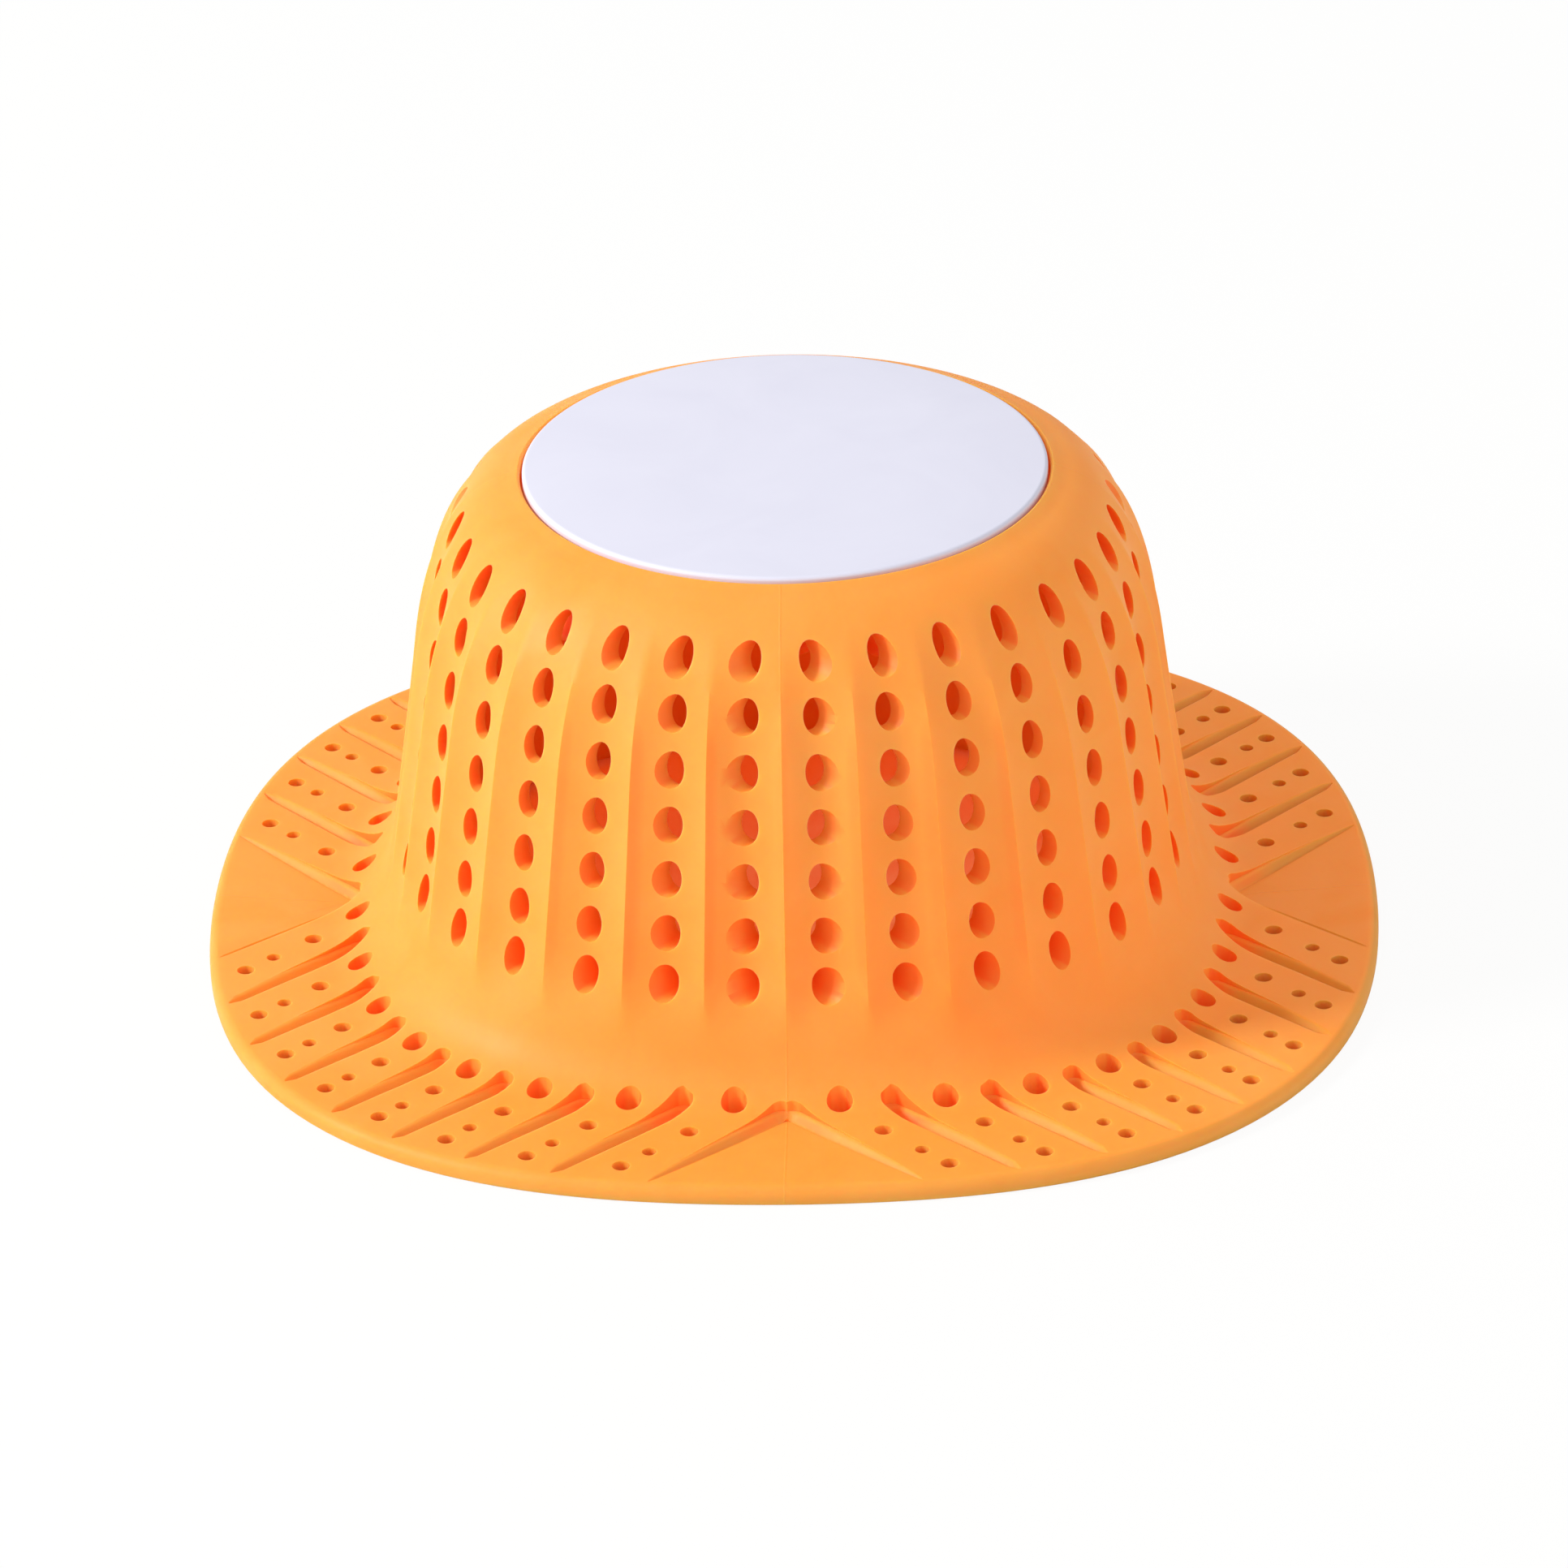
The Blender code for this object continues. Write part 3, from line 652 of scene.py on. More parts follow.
print(len(wall_rows), "wall holes,", len(drain_rows), "drain holes,", len(small_rows), "small holes")

# %% [markdown]
# Making the holes
#
# A hole is cut with a straight pin and a slightly flared one, which gives the mouth the soft edge of a
# moulding. The tree puts both pins on every place, turns them to the hole's direction, makes them real
# and subtracts them. The two groups of places are subtracted one after the other, because pins from
# neighbouring quarters cross inside the hat and a Boolean wants each cutter clear of itself.

# %% The tree that cuts the holes
FLARE_START_RADIUS_SHARE = 0.498


def hole_tree():
    numbers = ["Width", "Height", "Outward", "Inward", "Mouth Depth", "Mouth Flare"]
    tree, given, result = shape_tree("cut_the_holes", object=["Places"], number=numbers, count=["Sides"])
    places = object_shape(tree, given["Places"])

    def read(name, kind):
        return add_node(tree, "GeometryNodeInputNamedAttribute", {"Name": name}, data_type=kind).outputs[0]

    length = sum_node(tree, "ADD", given["Outward"], given["Inward"])
    middle = product(tree, sum_node(tree, "SUBTRACT", given["Outward"], given["Inward"]), 0.5)
    pin_size = {"Vertices": given["Sides"], "Radius": 0.5, "Depth": length}
    pin = add_node(tree, "GeometryNodeMeshCylinder", pin_size).outputs["Mesh"]
    shift = vector_of(tree, z=middle)
    pin = add_node(tree, "GeometryNodeTransform", {"Geometry": pin, "Translation": shift}).outputs[0]

    flare_length = sum_node(tree, "ADD", given["Outward"], given["Mouth Depth"])
    widest = sum_node(tree, "ADD", 0.5, product(tree, given["Mouth Flare"], flare_length))
    flare_size = {"Vertices": given["Sides"], "Radius Top": widest, "Depth": flare_length}
    flare_size["Radius Bottom"] = FLARE_START_RADIUS_SHARE
    flare = add_node(tree, "GeometryNodeMeshCone", flare_size).outputs["Mesh"]
    shift = vector_of(tree, z=product(tree, given["Mouth Depth"], -1.0))
    flare = add_node(tree, "GeometryNodeTransform", {"Geometry": flare, "Translation": shift}).outputs[0]

    facing = {"Primary Axis": read("aim", "FLOAT_VECTOR")}
    facing["Secondary Axis"] = read("tall_side", "FLOAT_VECTOR")
    turned = add_node(tree, "FunctionNodeAxesToRotation", facing, primary_axis="Z", secondary_axis="Y")
    wide = product(tree, given["Width"], read("breadth", "FLOAT"))
    high = product(tree, given["Height"], read("tallness", "FLOAT"))
    size = vector_of(tree, wide, high, 1.0)
    body = given["Skin"]
    for group in (0.0, 1.0):
        same = {"A": read("side", "FLOAT"), "B": group, "Epsilon": 0.1}
        chosen = add_node(tree, "FunctionNodeCompare", same, operation="EQUAL", data_type="FLOAT")
        for cutter in (pin, flare):
            spread = {"Points": places, "Instance": cutter, "Selection": chosen.outputs[0]}
            spread.update({"Rotation": turned.outputs[0], "Scale": size})
            pins = add_node(tree, "GeometryNodeInstanceOnPoints", spread).outputs[0]
            body = cut_off(tree, body, made_real(tree, pins))
    end_tree(tree, body, given, result)
    return tree


HOLE_WIDTH = 2.85 * MM
HOLE_HEIGHT = 4.4 * MM
WALL_PIN_OUTWARD = 4.0 * MM
WALL_PIN_INWARD = 8.0 * MM
DRAIN_PIN_OUTWARD = 14.0 * MM
DRAIN_PIN_INWARD = 2.0 * MM
SMALL_PIN_OUTWARD = 2.0 * MM
SMALL_PIN_INWARD = 5.0 * MM
WALL_MOUTH_DEPTH = 0.3 * MM
SMALL_MOUTH_DEPTH = 0.2 * MM
MOUTH_FLARE_PER_METRE = 40.0
WALL_HOLE_SIDES = 24
DRAIN_HOLE_SIDES = 20
SMALL_HOLE_SIDES = 14

cutting = hole_tree()
sizes = {"Places": wall_places, "Width": HOLE_WIDTH, "Height": HOLE_HEIGHT, "Sides": WALL_HOLE_SIDES}
sizes.update({"Outward": WALL_PIN_OUTWARD, "Inward": WALL_PIN_INWARD, "Material": soft_orange})
sizes.update({"Mouth Depth": WALL_MOUTH_DEPTH, "Mouth Flare": MOUTH_FLARE_PER_METRE})
add_tree(skin, cutting, sizes)
sizes.update({"Places": drain_places, "Width": DRAIN_HOLE_SIZE, "Height": DRAIN_HOLE_SIZE})
sizes.update({"Outward": DRAIN_PIN_OUTWARD, "Inward": DRAIN_PIN_INWARD})
sizes.update({"Mouth Flare": 0.0, "Sides": DRAIN_HOLE_SIDES})
add_tree(skin, cutting, sizes)
sizes.update({"Places": small_places, "Outward": SMALL_PIN_OUTWARD, "Inward": SMALL_PIN_INWARD})
sizes.update({"Mouth Depth": SMALL_MOUTH_DEPTH, "Mouth Flare": MOUTH_FLARE_PER_METRE})
sizes["Sides"] = SMALL_HOLE_SIDES
add_tree(skin, cutting, sizes)
print("three sets of holes share one tree")

# %% [markdown]
# Grooves in the brim
#
# Between one row of brim holes and the next runs a shallow trough, which leads water and hair to the
# drain holes. It is deep and round at the fillet and fades out before the rim. The two outermost troughs
# of a quarter are also the sides of the pockets below. All share one section: a round bottom, sloping
# walls and softly flared edges, as a soft moulding never has a knife edge. Each trough is a path whose
# points carry a reach, and the tree sweeps the section along it at that size. A quarter's last trough
# meets its neighbour's first one, so the last ones are cut by themselves.

# %% Paths of the grooves
GROOVE_STATIONS = (
    (18.4 * MM, 1.10 * MM, 0.60 * MM),
    (16.0 * MM, 1.15 * MM, 0.50 * MM),
    (13.0 * MM, 1.05 * MM, 0.20 * MM),
    (9.0 * MM, 0.98 * MM, 0.02 * MM),
    (2.6 * MM, 0.70 * MM, 0.01 * MM),
    (1.3 * MM, 0.12 * MM, 0.01 * MM),
)
POCKET_SIDE_STATIONS = (
    (16.8 * MM, 1.10 * MM, 0.29 * MM),
    (12.0 * MM, 1.00 * MM, 0.16 * MM),
    (6.0 * MM, 0.66 * MM, 0.02 * MM),
    (2.0 * MM, 0.30 * MM, 0.01 * MM),
    (1.2 * MM, 0.10 * MM, 0.01 * MM),
)
TROUGH_SECTION_SHARES = (
    (0.12, 0.88),
    (0.26, 0.76),
    (0.60, 0.35),
    (0.72, 0.23),
    (0.86, 0.12),
    (1.00, 0.045),
    (1.12, 0.01),
    (1.20, 0.0),
    (1.20, -4.0),
)
TROUGH_BOTTOM_SHARE = 0.92
GROOVE_STEPS = 4
TIP_STEPS = 8


def spaced_stations(given):
    """Inset, reach and sink of every path point, from the rounded tip out to the rim."""
    stations = []
    for first, second in zip(given, given[1:]):
        for step in range(GROOVE_STEPS):
            share = step / GROOVE_STEPS
            stations.append([a + (b - a) * share for a, b in zip(first, second)])
    stations.append(given[-1])
    inset, reach, sink = stations[0]
    tip = []
    for step in range(1, TIP_STEPS):
        turn = math.pi / 2 * step / TIP_STEPS
        tip.append((inset + reach * math.sin(turn), reach * math.cos(turn), sink))
    return tip[::-1] + stations


def groove_paths(name, rows):
    """One open path for each groove, whose points carry the section's reach."""
    points, edges, reaches = [], [], []
    for quarter in range(FLATS):
        for row in rows:
            offset = (row - BRIM_ROWS / 2) * BRIM_PITCH
            is_pocket_side = row in (0, BRIM_ROWS)
            stations = spaced_stations(POCKET_SIDE_STATIONS if is_pocket_side else GROOVE_STATIONS)
            edges += [(len(points) + i, len(points) + i + 1) for i in range(len(stations) - 1)]
            for inset, reach, sink in stations:
                place = brim_place(quarter, offset, inset)
                place.z = BRIM_THICKNESS - sink
                points.append(place)
                reaches.append(reach)
    mesh = bpy.data.meshes.new(name)
    mesh.from_pydata(points, edges, [])
    mesh.attributes.new("reach", "FLOAT", "POINT").data.foreach_set("value", reaches)
    return new_object(name, mesh)


def trough_section(name):
    """The section as a closed loop, whose second axis is depth."""
    left = [(-aside, depth, 0.0) for aside, depth in TROUGH_SECTION_SHARES]
    right = [(aside, depth, 0.0) for aside, depth in reversed(TROUGH_SECTION_SHARES)]
    loop = [(0.0, TROUGH_BOTTOM_SHARE, 0.0)] + left + right
    mesh = bpy.data.meshes.new(name)
    mesh.from_pydata(loop, [(i, (i + 1) % len(loop)) for i in range(len(loop))], [])
    return new_object(name, mesh)


section = trough_section("trough_section")
first_paths = groove_paths("first_troughs", range(BRIM_ROWS))
last_paths = groove_paths("last_troughs", (BRIM_ROWS,))
print("grooves:", FLATS * (BRIM_ROWS + 1), "paths")


# %% The tree that cuts the grooves
def groove_tree():
    tree, given, result = shape_tree("cut_the_grooves", object=["Paths", "Section"])
    curves = []
    for name in ("Paths", "Section"):
        lines = object_shape(tree, given[name])
        curves.append(add_node(tree, "GeometryNodeMeshToCurve", {0: lines}).outputs[0])
    upright = add_node(tree, "GeometryNodeSetCurveNormal", {0: curves[0]}, mode="Z_UP").outputs[0]
    reach = add_node(tree, "GeometryNodeInputNamedAttribute", {"Name": "reach"}).outputs[0]
    sweep = {"Curve": upright, "Profile Curve": curves[1], "Scale": reach, "Fill Caps": True}
    troughs = add_node(tree, "GeometryNodeCurveToMesh", sweep).outputs[0]
    end_tree(tree, cut_off(tree, given["Skin"], troughs), given, result)
    return tree


grooving = groove_tree()
for paths in (first_paths, last_paths):
    add_tree(skin, grooving, {"Paths": paths, "Section": section, "Material": soft_orange})
print("two sweeps share one tree")

# %% [markdown]
# Pockets at the flats
#
# In the middle of each flat, where the rows of two quarters meet, the brim sinks into a triangle with a
# blunt nose. Its floor is lowest at the nose and climbs to the brim's level near the rim. The troughs at
# its sides are there already and give it sloping walls. What stands between them is one wedge, and the
# tree sets four of it round the axis and takes them off.

# %% The wedge that makes one pocket
POCKET_NOSE_WIDTH = 0.2 * MM
POCKET_FLOOR_HEIGHT = 1.0 * MM
POCKET_OUTER_INSET = 1.5 * MM
POCKET_CUT_HEIGHT = 14.0 * MM
POCKET_CUT_OVERRUN = 4.0 * MM
POCKET_CORNER_RADIUS = BRIM_ROWS / 2 * BRIM_PITCH * math.sqrt(2)
POCKET_NOSE_RADIUS = POCKET_CORNER_RADIUS + POCKET_NOSE_WIDTH / 2


def pocket_wedge(name):
    """A wedge that points to the axis along +X, with a sloping floor."""
    level_at = FLAT_RADIUS - POCKET_OUTER_INSET
    climb = (BRIM_THICKNESS - POCKET_FLOOR_HEIGHT) / (level_at - POCKET_NOSE_RADIUS)
    far = FLAT_RADIUS + POCKET_CUT_OVERRUN
    shape = bmesh.new()
    rings = []
    for level in ("floor", "top"):
        ring = []
        for radius, sign in ((POCKET_NOSE_RADIUS, -1), (far, -1), (far, 1), (POCKET_NOSE_RADIUS, 1)):
            height = POCKET_FLOOR_HEIGHT + climb * (radius - POCKET_NOSE_RADIUS)
            if level == "top":
                height = POCKET_CUT_HEIGHT
            ring.append(shape.verts.new((radius, sign * (radius - POCKET_CORNER_RADIUS), height)))
        rings.append(ring)
    floor, top = rings
    shape.faces.new(floor)
    shape.faces.new(top)
    for i in range(len(floor)):
        after = (i + 1) % len(floor)
        shape.faces.new((floor[i], floor[after], top[after], top[i]))
    return new_object(name, closed_mesh(shape, name))


wedge = pocket_wedge("pocket_wedge")
print(f"pocket nose {POCKET_NOSE_RADIUS / MM:.1f} mm from the axis")


# %% The tree that sets the wedge round the axis
def pocket_tree():
    tree, given, result = shape_tree("cut_the_pockets", object=["Wedge"], count=["Flats"])
    one = object_shape(tree, given["Wedge"])
    line = {"Count": given["Flats"], "Offset": (0.0, 0.0, 0.0)}
    seats = add_node(tree, "GeometryNodeMeshLine", line).outputs[0]
    index = add_node(tree, "GeometryNodeInputIndex").outputs[0]
    step = sum_node(tree, "DIVIDE", 2 * math.pi, given["Flats"])
    turn = vector_of(tree, z=product(tree, index, step))
    spread = {"Points": seats, "Instance": one, "Rotation": turn}
    wedges = add_node(tree, "GeometryNodeInstanceOnPoints", spread).outputs[0]
    end_tree(tree, cut_off(tree, given["Skin"], made_real(tree, wedges)), given, result)
    return tree


add_tree(skin, pocket_tree(), {"Wedge": wedge, "Flats": FLATS, "Material": soft_orange})
print("pockets:", FLATS)

# %% [markdown]
# From trees to a plain mesh
#
# The trees have done their work, so their result is kept as a plain mesh, and the helper objects go.
# Where two cuts meet, a Boolean leaves specks of faces thinner than a thousandth of a millimetre, so
# points that close together are merged. Smooth shading runs over every edge that bends less than a set
# angle, so that the flutes stay round while the rims of holes and grooves stay crisp.

# %% Keep the cut skin as a plain mesh
SMOOTH_ANGLE = math.radians(32.0)
SPECK_SIZE = 0.001 * MM


def finish_mesh(mesh, material):
    """Gives a mesh its one material and its smooth shading."""
    mesh.materials.clear()
    mesh.materials.append(material)
    mesh.shade_smooth()
    mesh.set_sharp_from_angle(angle=SMOOTH_ANGLE)


def keep_as_plain_mesh(piece, material):
    """Replaces a piece's mesh with what its modifiers make, and removes the modifiers."""
    shaped = piece.evaluated_get(bpy.context.evaluated_depsgraph_get())
    mesh = bpy.data.meshes.new_from_object(shaped)
    piece.modifiers.clear()
    piece.data = mesh
    shape = bmesh.new()
    shape.from_mesh(mesh)
    bmesh.ops.remove_doubles(shape, verts=shape.verts, dist=SPECK_SIZE)
    shape.to_mesh(mesh)
    shape.free()
    finish_mesh(mesh, material)
    return mesh


skin_mesh = keep_as_plain_mesh(skin, soft_orange)
for helper in (wall_places, drain_places, small_places, first_paths, last_paths, section, wedge):
    bpy.data.objects.remove(helper)
print("soft hat:", sum(len(face.vertices) - 2 for face in skin_mesh.polygons), "triangles")

# %% [markdown]
# Cap, ballast and cup
#
# The cap is a plain white disc with a rounded edge. Its ring wall passes through the crown's web and
# snaps into a cup from below, and the steel ballast lies shut between the two. All three are turned, so
# one helper turns a (radius, height) profile about the axis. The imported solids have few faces, which
# would show along the cap's edge, so each is made again here with a finer turn and the same sizes.

# %% Turn the hard pieces
TURN_STEPS = 192
CAP_EDGE_ROUND = 0.5 * MM
CAP_RING_RADIUS = 23.4 * MM
CAP_RING_WALL = 1.8 * MM
SNAP_BEAD = 0.3 * MM
SNAP_BEAD_HEIGHT = 0.8 * MM
CAP_UNDERSIDE = CAP_TOP_HEIGHT - CAP_THICKNESS
BALLAST_LOW, BALLAST_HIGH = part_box("ballast_plate")
CUP_LOW, CUP_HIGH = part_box("retaining_cup")


def turned_piece(name, profile, material):
    """A closed piece turned about the axis. A profile point on the axis becomes a pole."""
    shape = bmesh.new()
    rings = []
    for radius, height in profile:
        steps = TURN_STEPS if radius > 0 else 1
        rings.append(ring_of(shape, radius, height, steps))
    closed = len(rings[0]) > 1
    for first, second in zip(rings, rings[1:] + (rings[:1] if closed else [])):
        if len(first) == len(second):
            join_rings(shape, first, second)
            continue
        pole, ring = sorted((first, second), key=len)
        for step in range(TURN_STEPS):
            shape.faces.new((pole[0], ring[step], ring[(step + 1) % TURN_STEPS]))
    mesh = closed_mesh(shape, name)
    finish_mesh(mesh, material)
    return new_object(name, mesh)


cap_white = bpy.data.materials.new("white_cap_plastic")
plate_steel = bpy.data.materials.new("turned_steel")
cup_white = bpy.data.materials.new("cup_plastic")
print("turned pieces have", TURN_STEPS, "steps round the axis")

# %% The cap
edge = (CAP_RADIUS - CAP_EDGE_ROUND, CAP_TOP_HEIGHT - CAP_EDGE_ROUND)
ring_foot = BALLAST_LOW.z
ring_inside = CAP_RING_RADIUS - CAP_RING_WALL
bead_top = ring_foot + 2 * SNAP_BEAD_HEIGHT
cap_profile = [(0.0, CAP_TOP_HEIGHT), (CAP_RADIUS / 2, CAP_TOP_HEIGHT)]
cap_profile += arc(edge, CAP_EDGE_ROUND, 90, 0, 2 * CORNER_STEPS)
cap_profile += [(CAP_RADIUS, CAP_UNDERSIDE), (CAP_RING_RADIUS, CAP_UNDERSIDE), (CAP_RING_RADIUS, bead_top)]
cap_profile += [
    (CAP_RING_RADIUS + SNAP_BEAD, bead_top - SNAP_BEAD_HEIGHT / 2),
    (CAP_RING_RADIUS, bead_top - SNAP_BEAD_HEIGHT),
    (CAP_RING_RADIUS, ring_foot),
    (ring_inside, ring_foot),
    (ring_inside, CAP_UNDERSIDE),
    (0.0, CAP_UNDERSIDE),
]
cap = turned_piece("smooth_cap", cap_profile, cap_white)
print(cap.name, len(cap.data.polygons), "faces")

# %% The ballast plate and the cup
EDGE_BREAK = 0.4 * MM
plate_profile = [
    (0.0, BALLAST_HIGH.z),
    (BALLAST_HIGH.x - EDGE_BREAK, BALLAST_HIGH.z),
    (BALLAST_HIGH.x, BALLAST_HIGH.z - EDGE_BREAK),
    (BALLAST_HIGH.x, BALLAST_LOW.z + EDGE_BREAK),
    (BALLAST_HIGH.x - EDGE_BREAK, BALLAST_LOW.z),
    (0.0, BALLAST_LOW.z),
]
plate = turned_piece("smooth_ballast", plate_profile, plate_steel)

CUP_WALL = 1.8 * MM
CUP_FLANGE_THICKNESS = 1.6 * MM
CUP_FLOOR_THICKNESS = 1.6 * MM
bore = CAP_RING_RADIUS + TOUCH_GAP
groove_top = CUP_HIGH.z
groove_bottom = bead_top - SNAP_BEAD_HEIGHT - TOUCH_GAP
cup_floor = CUP_LOW.z + CUP_FLOOR_THICKNESS
cup_profile = [
    (0.0, cup_floor),
    (bore, cup_floor),
    (bore, groove_bottom),
    (bore + SNAP_BEAD, (groove_top + groove_bottom) / 2),
    (bore, groove_top),
]
flange_low = CUP_HIGH.z - CUP_FLANGE_THICKNESS
edge = (CUP_HIGH.x - EDGE_BREAK, CUP_HIGH.z - EDGE_BREAK)
cup_profile += arc(edge, EDGE_BREAK, 90, 0, CORNER_STEPS)
edge = (CUP_HIGH.x - EDGE_BREAK, flange_low + EDGE_BREAK)
cup_profile += arc(edge, EDGE_BREAK, 0, -90, CORNER_STEPS)
cup_profile.append((bore + CUP_WALL, flange_low))
edge = (bore + CUP_WALL - EDGE_BREAK, CUP_LOW.z + EDGE_BREAK)
cup_profile += arc(edge, EDGE_BREAK, 0, -90, CORNER_STEPS)
cup_profile.append((0.0, CUP_LOW.z))
cup = turned_piece("smooth_cup", cup_profile, cup_white)
for piece in (plate, cup):
    print(piece.name, len(piece.data.polygons), "faces")

# %% [markdown]
# A moulded surface
#
# All the plastic here was moulded, and the same two effects show on it: a very fine grain from the
# mould's skin, and faint cloudy patches where the plastic flowed. They are one shader group, which only
# puts out numbers. Each material decides what they do to its colour, roughness and bump.

# %% The shared grain and clouds
CLOUD_LOW = 0.3
CLOUD_HIGH = 0.7


def moulded_surface():
    inputs = [("Place", "vector"), ("Grain Scale", "number"), ("Cloud Scale", "number")]
    outputs = [("Grain", "number"), ("Clouds", "number")]
    tree, given, result = new_tree("moulded_surface", "ShaderNodeTree", inputs, outputs)
    fine = {"Vector": given["Place"], "Scale": given["Grain Scale"], "Detail": 3.0, "Roughness": 0.6}
    grain = add_node(tree, "ShaderNodeTexNoise", fine).outputs[0]
    wide = {"Vector": given["Place"], "Scale": given["Cloud Scale"], "Detail": 4.0, "Roughness": 0.5}
    wide["Distortion"] = 0.8
    clouds = add_node(tree, "ShaderNodeTexNoise", wide).outputs[0]
    spread = ranged_value(tree, clouds, start=CLOUD_LOW, end=CLOUD_HIGH)
    tree.links.new(grain, result["Grain"])
    tree.links.new(spread, result["Clouds"])
    return tree


def start_material(material):
    """A material's tree, its shader and the object's own coordinates."""
    material.use_nodes = True
    tree = material.node_tree
    surface = tree.nodes["Principled BSDF"]
    place = add_node(tree, "ShaderNodeTexCoord").outputs["Object"]
    return tree, surface, place


# The places of a mix node's colour sockets.
MIX_FIRST, MIX_SECOND, MIX_RESULT = 6, 7, 2


def mixed_colour(tree, factor, first, second):
    """A colour that runs from the first to the second."""
    ends = [(*end, 1.0) if isinstance(end, tuple) else end for end in (first, second)]
    inputs = {"Factor": factor, MIX_FIRST: ends[0], MIX_SECOND: ends[1]}
    return add_node(tree, "ShaderNodeMix", inputs, data_type="RGBA").outputs[MIX_RESULT]


moulding_group = moulded_surface()


def add_moulding(tree, place, grain_scale, cloud_scale):
    inputs = {"Place": place, "Grain Scale": grain_scale, "Cloud Scale": cloud_scale}
    group = add_node(tree, "ShaderNodeGroup", inputs, node_tree=moulding_group)
    return group.outputs["Grain"], group.outputs["Clouds"]


def bumped(tree, height, strength, distance):
    """The surface's normal, turned by a height."""
    inputs = {"Height": height, "Strength": strength, "Distance": distance}
    return add_node(tree, "ShaderNodeBump", inputs).outputs[0]


print("moulded surface group ready")

# %% [markdown]
# The soft orange
#
# Silicone of this kind is satin, a little waxy and lets light through where it is thin, so holes and
# edges glow. Subsurface scattering does that at the surface. The warm light that has soaked through the
# wall is painted light: a faint red emission, so the hat glows a little though it is no lamp. On the brim
# this painted glow is kept to the faces that look up, so that the small holes stay dark. The sides of the
# wall holes, which see mostly such light, get painted shade, a darker and redder orange, and a mask finds
# them by how far they face sideways round the axis. Where the mould's parts met there is a faint raised
# line down each flat, which the material draws with a narrow mask on both middle planes.

# %% The soft orange moulding
ORANGE = (0.96, 0.34, 0.047)
ORANGE_CLOUD = (0.985, 0.375, 0.062)
# Painted shade: a darker, redder orange for the sides of the wall holes, which see mostly light soaked
# through the wall.
HOLE_SIDE_PAINTED_SHADE_ORANGE = (0.95, 0.16, 0.02)
# Painted light: a faint red emission stands in for light soaked through the wall, so the hat glows though
# it is no lamp.
PAINTED_GLOW_RED = (1.0, 0.06, 0.0, 1.0)
SOFT_GRAIN_SCALE = 2600.0
SOFT_CLOUD_SCALE = 70.0
SOFT_ROUGHNESS = (0.6, 0.5)
SOFT_DEPTH = 5.0 * MM
GRAIN_SHARE = 0.25
SOFT_BUMP = (0.5, 0.06 * MM)
SEAM_EDGE = 0.16 * MM
SEAM_TOP = 0.04 * MM
# Strengths of the painted red glow, on the wall and on the brim's upward faces.
WALL_PAINTED_GLOW_LEVEL = 0.12
BRIM_PAINTED_GLOW_LEVEL = 0.18
PAINTED_LIGHT_END_RADIUS = 59.5 * MM
PAINTED_LIGHT_FULL_RADIUS = 56.5 * MM
HOLE_SIDE_PAINTED_SHADE_SHARE = 0.6
SIDEWAYS_START, SIDEWAYS_FULL = 0.45, 0.65
UPWARD_START, UPWARD_FULL = 0.84, 0.97


def finish_soft_orange():
    tree, surface, place = start_material(soft_orange)
    grain, clouds = add_moulding(tree, place, SOFT_GRAIN_SCALE, SOFT_CLOUD_SCALE)
    parts = parts_of(tree, place)
    aside = [sum_node(tree, "ABSOLUTE", parts[axis]) for axis in ("X", "Y")]
    nearest = sum_node(tree, "MINIMUM", *aside)
    seam = ranged_value(tree, nearest, start=SEAM_EDGE, end=SEAM_TOP)
    height = sum_node(tree, "ADD", product(tree, grain, GRAIN_SHARE), seam)

    radius, level = distance_from_axis(tree, parts)
    near_wall = ranged_value(tree, radius, start=PAINTED_LIGHT_END_RADIUS, end=PAINTED_LIGHT_FULL_RADIUS)
    facing = add_node(tree, "ShaderNodeNewGeometry").outputs["Normal"]
    # Painted shade mask: near the wall, faces turned sideways round the axis (mostly the hole sides) get
    # the darker, redder orange.
    round_axis = {0: level, 1: facing}
    turned = add_node(tree, "ShaderNodeVectorMath", round_axis, operation="CROSS_PRODUCT").outputs[0]
    sideways = sum_node(tree, "DIVIDE", parts_of(tree, turned)["Z"], radius)
    sideways = sum_node(tree, "ABSOLUTE", sideways)
    hole_side_painted_shade = ranged_value(tree, sideways, 0.0, HOLE_SIDE_PAINTED_SHADE_SHARE, SIDEWAYS_START, SIDEWAYS_FULL)
    hole_side_painted_shade = product(tree, hole_side_painted_shade, near_wall)
    colour = mixed_colour(tree, clouds, ORANGE, ORANGE_CLOUD)
    upward = parts_of(tree, facing)["Z"]
    # Painted glow on the brim, kept to the faces that look up.
    brim_painted_glow = ranged_value(tree, upward, 0.0, BRIM_PAINTED_GLOW_LEVEL, UPWARD_START, UPWARD_FULL)
    look = {
        # Base colour carries the painted shade of the hole sides.
        "Base Color": mixed_colour(tree, hole_side_painted_shade, colour, HOLE_SIDE_PAINTED_SHADE_ORANGE),
        "Roughness": ranged_value(tree, clouds, *SOFT_ROUGHNESS),
        "Normal": bumped(tree, height, *SOFT_BUMP),
        "Subsurface Weight": 0.7,
        "Subsurface Radius": (1.0, 0.28, 0.08),
        "Subsurface Scale": SOFT_DEPTH,
        # Painted glow: red emission, full near the wall and on the brim's upward faces.
        "Emission Color": PAINTED_GLOW_RED,
        "Emission Strength": ranged_value(tree, near_wall, brim_painted_glow, WALL_PAINTED_GLOW_LEVEL),
        "Specular IOR Level": 0.4,
        "IOR": 1.42,
    }
    set_inputs(tree, surface, look)


finish_soft_orange()
print("soft plastic:", soft_orange.name)

